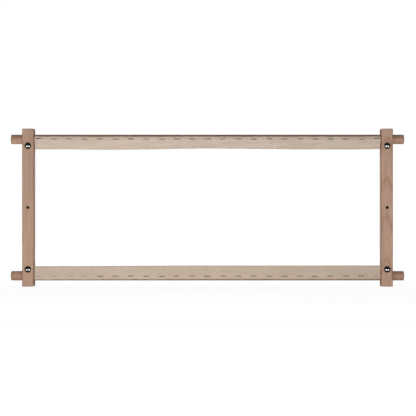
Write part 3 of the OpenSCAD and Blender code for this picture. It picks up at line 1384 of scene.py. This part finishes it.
@dataclass
class TapeShape:
    """How one tape lies: round its roller from the stapled edge, then free into the window.

    Attributes:
        level: Which roller it is on.
        axis: A point on the roller's axis.
        roller_radius: The roller's radius.
        length: The tape's length along the roller.
        staples: Where the staples are along X.
        wrap: Places along X, and the stapled edge's angle outward from the roller's front there, in degrees.
        lean: Places along X, and the angle past the front where the tape leaves the roller, in degrees.
        curl: How fast the free part curls back, in radians a metre.
        width: The webbing's width.
        thickness: The webbing's thickness.
        gap: The air between the webbing and the roller.
        wander: How far the stapled edge strays from its line, in degrees.
        wander_waves: How often it does so, in waves a metre.
        staple_line: How far the staples are from the stapled edge.
        press: How far a staple presses the webbing in.
        press_width: How far the press reaches on both sides of the staple.
        lift: How far the stapled edge stands off between two staples.
        lift_width: How far in from the stapled edge the webbing stands off.
        straight: The angle from the roller's front past which the stapled margin no longer bends, in degrees.
        ripple: How far the free part ripples to the front and back.
        ripple_waves: How often it does so along and across the tape, in waves a metre.
        ripple_full: How far from the roller the ripple is at its full height.
    """

    level: Level
    axis: Vector
    roller_radius: float
    length: float
    staples: Sequence[float]
    wrap: Sequence[tuple[float, float]]
    lean: Sequence[tuple[float, float]]
    curl: float
    width: float = 26.0 * MM
    thickness: float = 0.9 * MM
    gap: float = 0.05 * MM
    wander: float = 0.6
    wander_waves: float = 21.0
    staple_line: float = 5.2 * MM
    press: float = 0.10 * MM
    press_width: float = 2.4 * MM
    lift: float = 0.12 * MM
    lift_width: float = 5.0 * MM
    straight: float = 13.0
    ripple: float = 0.9 * MM
    ripple_waves: tuple[float, float] = (14.0, 30.0)
    ripple_full: float = 14.0 * MM

    @staticmethod
    def between(knots: Sequence[tuple[float, float]], x: float) -> float:
        """Reads a smooth line through a few knots.

        Args:
            knots: The line's places and values, in the order of the places.
            x: The place to read it at.

        Returns:
            The line's value there.
        """
        if x <= knots[0][0]:
            return knots[0][1]
        for (x0, y0), (x1, y1) in zip(knots, knots[1:]):
            if x <= x1:
                return y0 + (y1 - y0) * smooth_step(x0, x1, x)
        return knots[-1][1]

    def staple_gap(self, x: float) -> float:
        """How far a place is from its nearest staple, from 0 at one to 1 half way to the next."""
        pitch = abs(self.staples[1] - self.staples[0])
        return min(1.0, min(abs(x - staple) for staple in self.staples) / (pitch / 2))

    def point(self, x: float, across: float) -> Vector:
        """A point on the webbing's middle surface.

        Args:
            x: The place along the roller.
            across: The distance from the stapled edge.

        Returns:
            The point.
        """
        stray = noise.noise(Vector((x * self.wander_waves, self.level.value * 7.3, 0.0)))
        start = math.radians(self.between(self.wrap, x) + self.wander * stray)
        slack = smooth_step(0.15, 1.0, self.staple_gap(x))
        loose = smooth_step(self.lift_width, 0.0, across) * slack
        dimple = (1 - slack) * math.exp(-(((across - self.staple_line) / self.press_width) ** 2))
        base = self.roller_radius + self.gap + self.thickness / 2
        radius = base + self.lift * loose - self.press * dimple
        lean = math.radians(self.between(self.lean, x))
        leaves_at = (start + lean) * base
        if across <= leaves_at:
            turn = min(start - across / base, math.radians(self.straight))
            beyond = max(0.0, start * base - across - turn * base)
            forward = radius * math.cos(turn) - beyond * math.sin(turn)
            outward = radius * math.sin(turn) + beyond * math.cos(turn)
        else:
            run = across - leaves_at
            heading = lean + self.curl * run
            forward = base * math.cos(lean) + (math.cos(heading) - math.cos(lean)) / self.curl
            outward = -base * math.sin(lean) - (math.sin(heading) - math.sin(lean)) / self.curl
            often_along, often_across = self.ripple_waves
            wave = noise.noise(Vector((x * often_along, across * often_across, 3.0 + self.level.value)))
            forward += self.ripple * wave * smooth_step(0.0, self.ripple_full, run)
        return Vector((x, self.axis.y - forward, self.axis.z + self.level.value * outward))


@dataclass
class Tape:
    """A strip of webbing stapled along one roller.

    Attributes:
        shape: How it lies.
        finish: Its webbing.
        columns: How many parts it has along the roller.
        rows: How many parts it has across.
    """

    shape: TapeShape
    finish: WebbingFinish
    columns: int = 438
    rows: int = 22

    @property
    def node(self) -> str:
        """The tape's node."""
        return f"{self.shape.level.word}_tape"

    def build(self) -> bpy.types.Object:
        """Returns:
            The tape.
        """
        lie = self.shape
        cloth = bmesh.new()
        bmesh.ops.create_grid(cloth, x_segments=self.columns, y_segments=self.rows, size=1.0)
        pattern = cloth.loops.layers.uv.new("flat")
        for face in cloth.faces:
            for loop in face.loops:
                place = loop.vert.co
                loop[pattern].uv = ((place.x + 1) / 2 * lie.length, (place.y + 1) / 2 * lie.width)
        for vert in cloth.verts:
            x = vert.co.x * lie.length / 2
            across = (1 + vert.co.y) / 2 * lie.width
            vert.co = lie.point(x, across)
        bmesh.ops.recalc_face_normals(cloth, faces=cloth.faces)
        piece = loose_object(f"{self.node}_webbing", cloth)
        thick = piece.modifiers.new("thickness", "SOLIDIFY")
        thick.thickness = lie.thickness
        thick.offset = 0.0
        thick.use_even_offset = True
        body = f"{lie.level.word}_roller_unit"
        finish_piece(piece, self.finish, body, self.node, crease=60.0)
        return piece


@dataclass
class StapleRow:
    """The staples along one tape.

    Attributes:
        shape: How their tape lies.
        finish: Their wire.
        bright: Which staples get painted reflection, by their number from the left.
        pitch: The distance from one staple to the next.
        crown: The width over a staple's crown.
        leg: The length of its legs.
        cut: How much shorter a leg is on its inner side, as a share of its length.
        wire: The wire's width.
        thin: The wire's thickness.
        bend: The radius inside its corners.
        ease: The radius of the wire's own edges.
        clear: The air between a staple and the webbing.
        angle: Their angle outward from the roller's front, in degrees.
        end_angle: How much further outward the row's two end staples are, in degrees.
        slip: How far a staple may be off its place along the roller.
        skew: How far it may be turned, in degrees.
        roll: How far it may be off its angle, in degrees.
        painted_reflection_tones: The tones that a staple with painted reflection may have, from 0 for dark
            wire to 1 for light.
        dull: The tones that the others may have.
        seed: What the staples' errors are drawn from, with the roller's own value added.
    """

    shape: TapeShape
    finish: WireFinish
    bright: Sequence[int]
    pitch: float = 29.2 * MM
    crown: float = 11.4 * MM
    leg: float = 7.4 * MM
    cut: float = 0.12
    wire: float = 1.2 * MM
    thin: float = 0.6 * MM
    bend: float = 0.35 * MM
    ease: float = 0.12 * MM
    clear: float = 0.01 * MM
    angle: float = 1.5
    end_angle: float = 5.0
    slip: float = 0.9 * MM
    skew: float = 2.4
    roll: float = 1.5
    painted_reflection_tones: tuple[float, float] = (0.75, 1.0)
    dull: tuple[float, float] = (0.0, 0.10)
    seed: int = 40

    @property
    def node(self) -> str:
        """The row's node."""
        return f"{self.shape.level.word}_staples"

    def staple(self) -> bmesh.types.BMesh:
        """One staple, its crown's back on the X axis and its legs along +Y.

        Returns:
            The staple.
        """
        shape = bmesh.new()
        straight = self.crown / 2 - self.thin - self.bend
        side = self.wire / 2
        corners = [(0, -self.thin, -side), (0, 0, -side), (0, 0, side), (0, -self.thin, side)]
        face = shape.faces.new([shape.verts.new(corner) for corner in corners])
        face = self.pull(shape, face, Vector((straight, 0, 0)))
        turned = bmesh.ops.spin(
            shape,
            geom=[face, *face.edges, *face.verts],
            cent=(straight, self.bend, 0),
            axis=(0, 0, 1),
            angle=math.pi / 2,
            steps=4,
        )
        face = next(item for item in turned["geom_last"] if isinstance(item, bmesh.types.BMFace))
        tip = self.pull(shape, face, Vector((0, self.leg, 0)))
        inner_side = [v for v in tip.verts if v.co.x < self.crown / 2 - self.thin / 2]
        bmesh.ops.translate(shape, vec=(0, -self.leg * self.cut, 0), verts=inner_side)
        half = shape.verts[:] + shape.edges[:] + shape.faces[:]
        bmesh.ops.mirror(shape, geom=half, axis="X", merge_dist=SAME_PLACE)
        inside = [f for f in shape.faces if all(abs(v.co.x) < SAME_PLACE for v in f.verts)]
        bmesh.ops.delete(shape, geom=inside, context="FACES_ONLY")
        bmesh.ops.remove_doubles(shape, verts=shape.verts, dist=SAME_PLACE)
        bmesh.ops.recalc_face_normals(shape, faces=shape.faces)
        edges = [e for e in shape.edges if e.is_manifold and e.calc_face_angle(0.0) > 1.0]
        bmesh.ops.bevel(
            shape, geom=edges, offset=self.ease, segments=2, profile=0.5, affect="EDGES", material=-1
        )
        return shape

    @staticmethod
    def pull(shape: bmesh.types.BMesh, face: bmesh.types.BMFace, way: Vector) -> bmesh.types.BMFace:
        """Extrudes a face.

        Args:
            shape: The shape that the face is on.
            face: The face.
            way: How far it goes, and where to.

        Returns:
            The face at the other end.
        """
        grown = bmesh.ops.extrude_face_region(shape, geom=[face])
        moved = [item for item in grown["geom"] if isinstance(item, bmesh.types.BMVert)]
        bmesh.ops.translate(shape, vec=way, verts=moved)
        if face.is_valid:
            bmesh.ops.delete(shape, geom=[face], context="FACES_ONLY")
        return next(item for item in grown["geom"] if isinstance(item, bmesh.types.BMFace))

    def place(self, number: int, chance: random.Random) -> Matrix:
        """Where a staple is, a little out of line as a hand tool leaves it.

        Args:
            number: The staple's number from the left.
            chance: What its errors are drawn from.

        Returns:
            The place and turn.
        """
        lie = self.shape
        skew = math.radians(chance.uniform(-self.skew, self.skew))
        slip = chance.uniform(-self.slip, self.slip)
        further = self.end_angle if number in (0, len(lie.staples) - 1) else 0.0
        round_by = math.radians(self.angle + further + chance.uniform(-self.roll, self.roll))
        seat = lie.roller_radius + lie.gap + lie.thickness + self.clear
        place = Matrix.Translation((lie.staples[number] + slip, lie.axis.y, lie.axis.z))
        place = place @ Matrix.Rotation(-lie.level.value * round_by, 4, "X")
        return place @ Matrix.Translation((0, -seat, 0)) @ Matrix.Rotation(skew, 4, "Y")

    def build(self) -> bpy.types.Object:
        """Makes the row, and gives each staple its tone.

        Returns:
            The row.
        """
        level = self.shape.level
        chance = random.Random(self.seed + level.value)
        whole = bmesh.new()
        tone = whole.verts.layers.float.new("tone")
        for number in range(len(self.shape.staples)):
            one = move(self.staple(), self.place(number, chance))
            mesh = bpy.data.meshes.new("one")
            one.to_mesh(mesh)
            one.free()
            before = len(whole.verts)
            whole.from_mesh(mesh)
            bpy.data.meshes.remove(mesh)
            whole.verts.ensure_lookup_table()
            # A staple's tone: painted reflection on the listed ones, near-black wire with its painted shade
            # on the others.
            shine = chance.uniform(*(self.painted_reflection_tones if number in self.bright else self.dull))
            for index in range(before, len(whole.verts)):
                whole.verts[index][tone] = shine
        piece = loose_object(f"{self.node}_wire", whole)
        return finish_piece(piece, self.finish, f"{level.word}_roller_unit", self.node)


@dataclass
class Clamp:
    """A carriage bolt, washer and wing nut at one corner. Its own axis runs back from the bar's front face.

    Attributes:
        side: The bar it is on.
        level: The roller it holds.
        bolt_finish: The bolt's plate.
        nut_finish: The washer's and nut's plate.
        lean: The wings' lean from upright, in degrees.
        shank: The bolt's radius.
        rim: The height of the head's straight rim.
        ease: The radius of the head's edge on the wood.
        neck: The length of the square neck.
        neck_edge: The radius of the neck's edges.
        pitch: The thread's pitch.
        thread: The thread's length.
        groove: The thread's depth.
        tail: The chamfer on the bolt's end.
        run_out: How much of the thread's length its last turn leaves bare.
        washer_fit: The washer's clearance on the bolt.
        washer_edge: The radius of the edges that the punch rounded.
        nut_fit: The nut's clearance on the bolt.
        flare: How much wider the nut's bore gets at its two ends.
        hub_base: The hub's radius on the washer.
        hub_top: The hub's radius at its outer end.
        hub_height: The hub's height.
        hub_edge: The radius of its outer edge.
        wing_thick: The thickness of a wing.
        wing_tip: The radius of a wing's tip.
        wing_edge: The radius of a wing's edges.
        wing_root: How far from the bolt a wing starts inside the hub.
        span: The span over both wings.
    """

    side: Side
    level: Level
    bolt_finish: PlateFinish
    nut_finish: PlateFinish
    lean: float
    shank: float = 2.5 * MM
    rim: float = 0.6 * MM
    ease: float = 0.15 * MM
    neck: float = 4.1 * MM
    neck_edge: float = 0.25 * MM
    pitch: float = 0.8 * MM
    thread: float = 16.0 * MM
    groove: float = 0.45 * MM
    tail: float = 0.5 * MM
    run_out: float = 0.9 * MM
    washer_fit: float = 0.15 * MM
    washer_edge: float = 0.35 * MM
    nut_fit: float = 0.05 * MM
    flare: float = 0.7 * MM
    hub_base: float = 5.5 * MM
    hub_top: float = 4.5 * MM
    hub_height: float = 6.5 * MM
    hub_edge: float = 0.8 * MM
    wing_thick: float = 2.4 * MM
    wing_tip: float = 3.4 * MM
    wing_edge: float = 0.7 * MM
    wing_root: float = 0.6 * MM
    span: float = 24.0 * MM

    @property
    def corner(self) -> str:
        """The corner's name."""
        return corner_of(self.level, self.side)

    @property
    def front(self) -> float:
        """The bar's front face along Y."""
        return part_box(f"{self.side.value}_side_bar")[0].y

    def seat(self, depth: float) -> Matrix:
        """Where the clamp's axis is, with +Z turned to the back.

        Args:
            depth: How far behind the bar's front face the axis starts.

        Returns:
            The place and turn.
        """
        bolt = middle_of(f"{self.corner}_bolt")
        place = Matrix.Translation((bolt.x, self.front + depth, bolt.z))
        return place @ Matrix.Rotation(-math.pi / 2, 4, "X")

    def build_bolt(self) -> bpy.types.Object:
        """Makes the bolt: a domed head, a square neck and a shank with a true helical thread.

        Returns:
            The bolt.
        """
        low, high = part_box(f"{self.corner}_bolt")
        head_radius = (high.x - low.x) / 2
        head_height = self.front - low.y
        length = high.y - self.front
        dome = head_height - self.rim
        ball = (head_radius**2 + dome**2) / (2 * dome)
        open_angle = math.degrees(math.asin(head_radius / ball))
        top = arc((0.0, ball - head_height), ball, -90, -90 + open_angle * 0.985, 16)
        root = self.shank - self.groove
        start = length - self.thread
        outline = [
            (0.0, -head_height),
            *top[1:],
            (head_radius, -self.rim * 0.8),
            (head_radius, -self.ease),
            (head_radius - self.ease, 0.0),
            (self.shank, 0.0),
            (self.shank, start - self.groove),
            (root, start),
            (root, length - self.tail),
            (root - self.tail, length),
            (0.0, length),
        ]
        body = lathe(outline, 64)
        neck = eased_block(Vector((self.shank * 2, self.shank * 2, self.neck)), self.neck_edge, 2)
        move(neck, Matrix.Translation((0, 0, self.neck / 2)))
        thread = self.helix(root, start, int((self.thread - self.run_out) / self.pitch))
        shape = move(join_shapes([body, neck, thread]), self.seat(0.0))
        piece = loose_object(f"{self.corner}_bolt_steel", shape)
        bar_body = f"{self.side.value}_frame"
        return finish_piece(
            piece, self.bolt_finish, bar_body, f"{self.corner}_bolt", crease=40.0
        )

    def helix(self, root: float, start: float, turns: int) -> bmesh.types.BMesh:
        """The thread's ridge, wound right-handed along the axis.

        Args:
            root: The radius at the bottom of the thread.
            start: Where the thread starts along the axis.
            turns: How many turns it has.

        Returns:
            The ridge, closed at both ends.
        """
        steps_a_turn = 24
        ridge = bmesh.new()
        crest = self.pitch * 0.07
        foot = self.pitch * 0.44
        middle = start + self.pitch / 2
        sunk = root - 0.1 * MM
        profile = [(sunk, -foot), (self.shank, -crest), (self.shank, crest), (sunk, foot)]
        face = ridge.faces.new([ridge.verts.new((radius, 0.0, middle + rise)) for radius, rise in profile])
        bmesh.ops.spin(
            ridge,
            geom=[face, *face.edges, *face.verts],
            cent=(0, 0, 0),
            axis=(0, 0, 1),
            dvec=(0, 0, self.pitch / steps_a_turn),
            angle=FULL_TURN * turns,
            steps=steps_a_turn * turns,
        )
        bmesh.ops.recalc_face_normals(ridge, faces=ridge.faces)
        return ridge

    def build_washer(self) -> bpy.types.Object:
        """Makes the washer, rounded on the side that the punch entered.

        Returns:
            The washer.
        """
        low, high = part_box(f"{self.corner}_washer")
        outer = (high.x - low.x) / 2
        thick = high.y - low.y
        hole = self.shank + self.washer_fit
        ease = self.washer_edge
        outline = [(hole, 0.0), (outer - 0.1 * MM, 0.0), (outer, 0.1 * MM)]
        outline += arc((outer - ease, thick - ease), ease, 0, 90, 4)
        outline += arc((hole + ease, thick - ease), ease, 90, 180, 4)
        shape = move(lathe(outline, 72), self.seat(low.y - self.front))
        piece = loose_object(f"{self.corner}_washer_steel", shape)
        body = f"{self.corner}_washer_unit"
        return finish_piece(
            piece, self.nut_finish, body, f"{self.corner}_washer", crease=50.0
        )

    def wing(self, height: float) -> bmesh.types.BMesh:
        """One wing: a round tip with straight flanks that run down to the hub.

        Args:
            height: The nut's height over its wings.

        Returns:
            The wing, standing along +X.
        """
        tip = (self.span / 2 - self.wing_tip, height - self.wing_tip)
        inner = self.shank + self.wing_root
        outline = [(inner, self.hub_height * 0.16), *arc(tip, self.wing_tip, -52, 138, 14)]
        outline.append((inner, self.hub_height * 0.86))
        shape = bmesh.new()
        face = shape.faces.new([shape.verts.new((x, -self.wing_thick / 2, z)) for x, z in outline])
        grown = bmesh.ops.extrude_face_region(shape, geom=[face], use_keep_orig=True)
        moved = [item for item in grown["geom"] if isinstance(item, bmesh.types.BMVert)]
        bmesh.ops.translate(shape, vec=(0, self.wing_thick, 0), verts=moved)
        bmesh.ops.recalc_face_normals(shape, faces=shape.faces)
        rims = [e for e in shape.edges if abs(e.verts[0].co.y - e.verts[1].co.y) < SAME_PLACE]
        bmesh.ops.bevel(
            shape, geom=rims, offset=self.wing_edge, segments=3, profile=0.5, affect="EDGES", material=-1
        )
        return shape

    def build_wing_nut(self) -> bpy.types.Object:
        """Makes the wing nut as one soft forging, then bores it.

        Returns:
            The wing nut.
        """
        low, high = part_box(f"{self.corner}_wing_nut")
        rounded = (self.hub_top - self.hub_edge, self.hub_height - self.hub_edge)
        outline = [(0.0, 0.0), (self.hub_base - 0.3 * MM, 0.0), (self.hub_base, 0.4 * MM)]
        outline += [*arc(rounded, self.hub_edge, 10, 90, 5), (0.0, self.hub_height)]
        wing_turns = [Matrix.Rotation(turn, 4, "Z") for turn in (0.0, math.pi)]
        wings = [move(self.wing(high.y - low.y), turn) for turn in wing_turns]
        piece = loose_object(f"{self.corner}_wing_nut_steel", join_shapes([lathe(outline, 64), *wings]))
        forge = piece.modifiers.new("forge", "REMESH")
        forge.mode = "VOXEL"
        forge.voxel_size = 0.24 * MM
        soften = piece.modifiers.new("soften", "SMOOTH")
        soften.factor = 0.5
        soften.iterations = 7
        settle_modifiers(piece)
        bore = self.shank + self.nut_fit
        mouth = bore + self.flare
        tool = [(0.0, -MM), (mouth, -MM), (bore, 0.5 * MM), (bore, self.hub_height - 0.5 * MM)]
        tool += [(mouth, self.hub_height + MM), (0.0, self.hub_height + MM)]
        carve(piece, [loose_object("bore", lathe(tool, 48))])
        turn = Matrix.Rotation(math.radians(90 + self.lean), 4, "Z")
        piece.data.transform(self.seat(low.y - self.front) @ turn)
        body = f"{self.corner}_nut_unit"
        return finish_piece(
            piece, self.nut_finish, body, f"{self.corner}_wing_nut", crease=50.0
        )

    def build(self) -> None:
        """Makes the three pieces."""
        self.build_bolt()
        self.build_washer()
        self.build_wing_nut()


@dataclass(frozen=True)
class Lamp:
    """A soft rectangular lamp that looks at the frame's middle from its own height.

    Attributes:
        name: The lamp's name.
        place: Where it stands.
        size: Its width and height.
        power: Its power in watts.
    """

    name: str
    place: tuple[float, float, float]
    size: tuple[float, float]
    power: float

    def build(self) -> None:
        """Hangs the lamp, out of the camera's and the metal's sight."""
        light = bpy.data.lights.new(self.name, "AREA")
        light.shape = "RECTANGLE"
        light.size, light.size_y = self.size
        light.energy = self.power
        lamp = bpy.data.objects.new(self.name, light)
        lamp.location = self.place
        aim = Vector((0.0, 0.0, self.place[2])) - Vector(self.place)
        lamp.rotation_euler = aim.to_track_quat("-Z", "Y").to_euler()
        lamp.visible_camera = False
        lamp.visible_glossy = False
        bpy.context.scene.collection.objects.link(lamp)


LAMPS = (
    Lamp("low_front_lamp", (-0.05, -0.75, 0.03), (1.2, 0.05), 4.4),
    Lamp("front_left_lamp", (-0.75, -1.25, 0.07), (0.9, 0.12), 3.3),
    Lamp("front_right_lamp", (0.75, -1.25, 0.07), (0.9, 0.12), 1.3),
    Lamp("back_left_lamp", (-1.1, 1.9, 0.9), (1.0, 0.5), 18.0),
    Lamp("side_left_lamp", (-0.95, 0.22, 0.18), (0.5, 0.4), 1.2),
    Lamp("back_right_lamp", (1.1, 1.9, 0.9), (1.0, 0.5), 18.0),
    Lamp("side_right_lamp", (0.95, 0.22, 0.18), (0.5, 0.4), 1.2),
)


@dataclass
class Studio:
    """The floor, lamps, surroundings and camera.

    Attributes:
        eye_distance: The camera's distance from the bars' middle.
        view_width: How much of the bars' plane the picture spans.
        eye_right: How far the camera is right of the frame's middle.
        eye_height: The camera's height.
        ambient: The brightness of the room's walls.
        overhead: The brightness of its ceiling.
        windows: Where two softboxes show in the metal, as slopes to the right and up from straight ahead.
        window_half: Half their width and height, as slopes.
        window_rim: Half the width of their soft rims, as a slope.
        window_strength: How bright they are there.
        floor_size: Half the floor's width.
    """

    eye_distance: float = 2.475
    view_width: float = 0.7935
    eye_right: float = 0.95 * MM
    eye_height: float = 149.2 * MM
    ambient: float = 0.08
    overhead: float = 0.03
    windows: Sequence[tuple[float, float]] = ((-0.53, -0.24), (0.53, -0.24))
    window_half: tuple[float, float] = (0.20, 0.22)
    window_rim: float = 0.03
    window_strength: float = 5.5
    floor_size: float = 12.0

    def camera(self) -> None:
        """Sets the camera square to the working side."""
        bar_low, bar_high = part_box("left_side_bar")
        lens = bpy.data.cameras.new("camera")
        lens.sensor_fit = "HORIZONTAL"
        lens.angle = 2 * math.atan(self.view_width / 2 / self.eye_distance)
        lens.clip_end = 50.0
        eye = bpy.data.objects.new("camera", lens)
        eye.location = (self.eye_right, (bar_low.y + bar_high.y) / 2 - self.eye_distance, self.eye_height)
        eye.rotation_euler = (math.pi / 2, 0.0, 0.0)
        bpy.context.scene.collection.objects.link(eye)
        bpy.context.scene.camera = eye

    def surroundings(self) -> None:
        """A white backdrop for the camera, a dim room for the light and a studio that the metal mirrors."""
        world = bpy.data.worlds.new("studio")
        world.use_nodes = True
        bpy.context.scene.world = world
        bench = NodeBench(world.node_tree)
        path = bench.add("ShaderNodeLightPath")
        spot = bench.add("ShaderNodeTexCoord")
        right, behind, above = bench.split(spot.outputs["Generated"])
        room = bench.ramp(above, 0.0, 0.75, self.ambient, self.overhead)
        ground = bench.ramp(above, -0.85, -0.20, 0.04, 0.17)
        below = bench.math("MULTIPLY", ground, bench.ramp(above, -0.24, 0.04, 1.0, 0.14))
        mirrored = bench.math("MAXIMUM", below, bench.ramp(behind, -0.05, 0.25))
        ahead = bench.math("MAXIMUM", bench.math("MULTIPLY", behind, -1.0), 0.02)
        slope_right = bench.math("DIVIDE", right, ahead)
        slope_up = bench.math("DIVIDE", above, ahead)
        half_width, half_height = self.window_half
        rim = self.window_rim
        for window_right, window_up in self.windows:
            aside = bench.math("ABSOLUTE", bench.math("SUBTRACT", slope_right, window_right))
            aloft = bench.math("ABSOLUTE", bench.math("SUBTRACT", slope_up, window_up))
            wide = bench.ramp(aside, half_width - rim, half_width + rim, 1.0, 0.0)
            tall = bench.ramp(aloft, half_height - rim, half_height + rim, self.window_strength, 0.0)
            mirrored = bench.math("MAXIMUM", mirrored, bench.math("MULTIPLY", wide, tall))
        mirror = bench.math("MAXIMUM", path.outputs["Is Glossy Ray"], path.outputs["Is Transmission Ray"])
        more = bench.math("SUBTRACT", mirrored, room)
        strength = bench.math("ADD", room, bench.math("MULTIPLY", mirror, more))
        seen = path.outputs["Is Camera Ray"]
        to_white = bench.math("MULTIPLY", seen, bench.math("SUBTRACT", 1.0, strength))
        strength = bench.math("ADD", strength, to_white)
        shade = bench.add("ShaderNodeBackground")
        shade.inputs["Color"].default_value = (1.0, 1.0, 1.0, 1.0)
        bench.feed(shade.inputs["Strength"], strength)
        output = bench.add("ShaderNodeOutputWorld")
        bench.feed(output.inputs["Surface"], shade.outputs[0])

    def floor(self) -> None:
        """A pale floor that whitens away from the object and keeps its shadow."""
        ground = bmesh.new()
        bmesh.ops.create_grid(ground, x_segments=1, y_segments=1, size=self.floor_size)
        floor = loose_object("floor", ground)
        material = bpy.data.materials.new("pale_floor")
        material.use_nodes = True
        bench = NodeBench(material.node_tree)
        spot = bench.add("ShaderNodeTexCoord")
        path = bench.add("ShaderNodeLightPath")
        far = bench.ramp(bench.vector("LENGTH", spot.outputs["Object"]), 0.45, 1.3)
        seen = path.outputs["Is Camera Ray"]
        whiteness = bench.math("MULTIPLY", seen, bench.ramp(far, 0.0, 1.0, 0.93, 1.0))
        matt = bench.add("ShaderNodeBsdfDiffuse")
        bench.feed(matt.inputs["Color"], bench.blend(seen, (0.88, 0.88, 0.88), (0.15, 0.15, 0.15)))
        glow = bench.add("ShaderNodeEmission")
        bench.feed(glow.inputs["Strength"], whiteness)
        both = bench.add("ShaderNodeAddShader")
        bench.feed(both.inputs[0], matt.outputs[0])
        bench.feed(both.inputs[1], glow.outputs[0])
        output = bench.add("ShaderNodeOutputMaterial")
        bench.feed(output.inputs["Surface"], both.outputs[0])
        floor.data.materials.append(material)
        floor.visible_glossy = False

    def build(self) -> None:
        """Sets the whole studio."""
        bpy.context.scene.view_settings.view_transform = "Standard"
        self.camera()
        self.surroundings()
        self.floor()
        for lamp in LAMPS:
            lamp.build()


# Each pair is a place along the roller in metres and an angle in degrees, chosen after the photograph.
UPPER_WRAP = ((-0.32, 34.0), (-0.2, 33.0), (0.0, 34.0), (0.2, 33.5), (0.30, 34.5), (0.325, 37.0))
UPPER_LEAN = (
    (-0.32, 15.0),
    (-0.28, 15.5),
    (-0.22, 11.0),
    (-0.17, 8.5),
    (-0.11, 15.5),
    (-0.05, 26.5),
    (0.0, 30.5),
    (0.06, 26.5),
    (0.12, 21.0),
    (0.18, 15.0),
    (0.23, 13.0),
    (0.27, 13.0),
    (0.32, 16.0),
)
LOWER_WRAP = (
    (-0.32, 43.0),
    (-0.22, 42.5),
    (-0.17, 41.0),
    (-0.11, 39.0),
    (-0.05, 37.0),
    (0.17, 37.0),
    (0.3, 36.0),
)
LOWER_LEAN = ((-0.32, 0.5), (0.0, -0.5), (0.32, 0.0))

# The light and the dark yarn of each webbing. The top webbing's yarn is paler than the bottom's to make up
# for the weaker light on it: painted light.
YARN = {
    Level.TOP: (paint(234, 217, 200), paint(210, 192, 175)),
    Level.BOTTOM: (paint(229, 211, 193), paint(205, 186, 169)),
}

# The staples that get painted reflection, by their number from the left.
PAINTED_REFLECTION_STAPLES = {Level.TOP: (), Level.BOTTOM: (0, 1, 2, 3, 22)}

# The wings' leans from upright, in degrees.
WING_LEANS = {
    (Level.TOP, Side.LEFT): 20.0,
    (Level.TOP, Side.RIGHT): -35.0,
    (Level.BOTTOM, Side.LEFT): -15.0,
    (Level.BOTTOM, Side.RIGHT): 40.0,
}


def tape_shape(level: Level) -> TapeShape:
    """How a tape lies, as the photograph shows its edges.

    Args:
        level: Which roller it is on.

    Returns:
        The tape's shape.
    """
    low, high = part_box(f"{level.word}_tape")
    roller_low, roller_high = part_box(f"{level.word}_roller")
    staple_low, staple_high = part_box(f"{level.word}_staples")
    span = (staple_high.x - staple_low.x) - StapleRow.crown
    count = round(span / StapleRow.pitch) + 1
    upper = level is Level.TOP
    return TapeShape(
        level=level,
        axis=(roller_low + roller_high) / 2,
        roller_radius=(roller_high.z - roller_low.z) / 2,
        length=high.x - low.x,
        staples=[-span / 2 + span * number / (count - 1) for number in range(count)],
        wrap=UPPER_WRAP if upper else LOWER_WRAP,
        lean=UPPER_LEAN if upper else LOWER_LEAN,
        curl=17.0 if upper else 2.5,
    )


def main() -> None:
    """Builds the dressed frame and its studio."""
    logging.basicConfig(level=logging.INFO, format="%(message)s")
    Studio().build()
    for side in Side:
        SideBar(side).build()
    for level in Level:
        Roller(level).build()
    # Near-black wire that also paints the staples' shade, and a pale tone for painted reflection.
    wire = WireFinish("dull_wire", paint(38, 41, 44), paint(178, 186, 196))
    for level in Level:
        shape = tape_shape(level)
        Tape(shape, WebbingFinish(f"webbing_{level.word}", *YARN[level], shape.width)).build()
        StapleRow(shape, wire, PAINTED_REFLECTION_STAPLES[level]).build()
    bright = PlateFinish(
        name="bright_nickel",
        colour=paint(206, 205, 202),
        dull=paint(176, 174, 170),
        smooth=0.07,
        rough=0.16,
        pitted=0.01 * MM,
    )
    zinc = PlateFinish(
        name="zinc_plate",
        colour=paint(190, 192, 196),
        dull=paint(150, 153, 158),
        smooth=0.28,
        rough=0.46,
        pitted=0.05 * MM,
    )
    for (level, side), lean in WING_LEANS.items():
        Clamp(side, level, bright, zinc, lean).build()


if __name__ == "__main__":
    main()
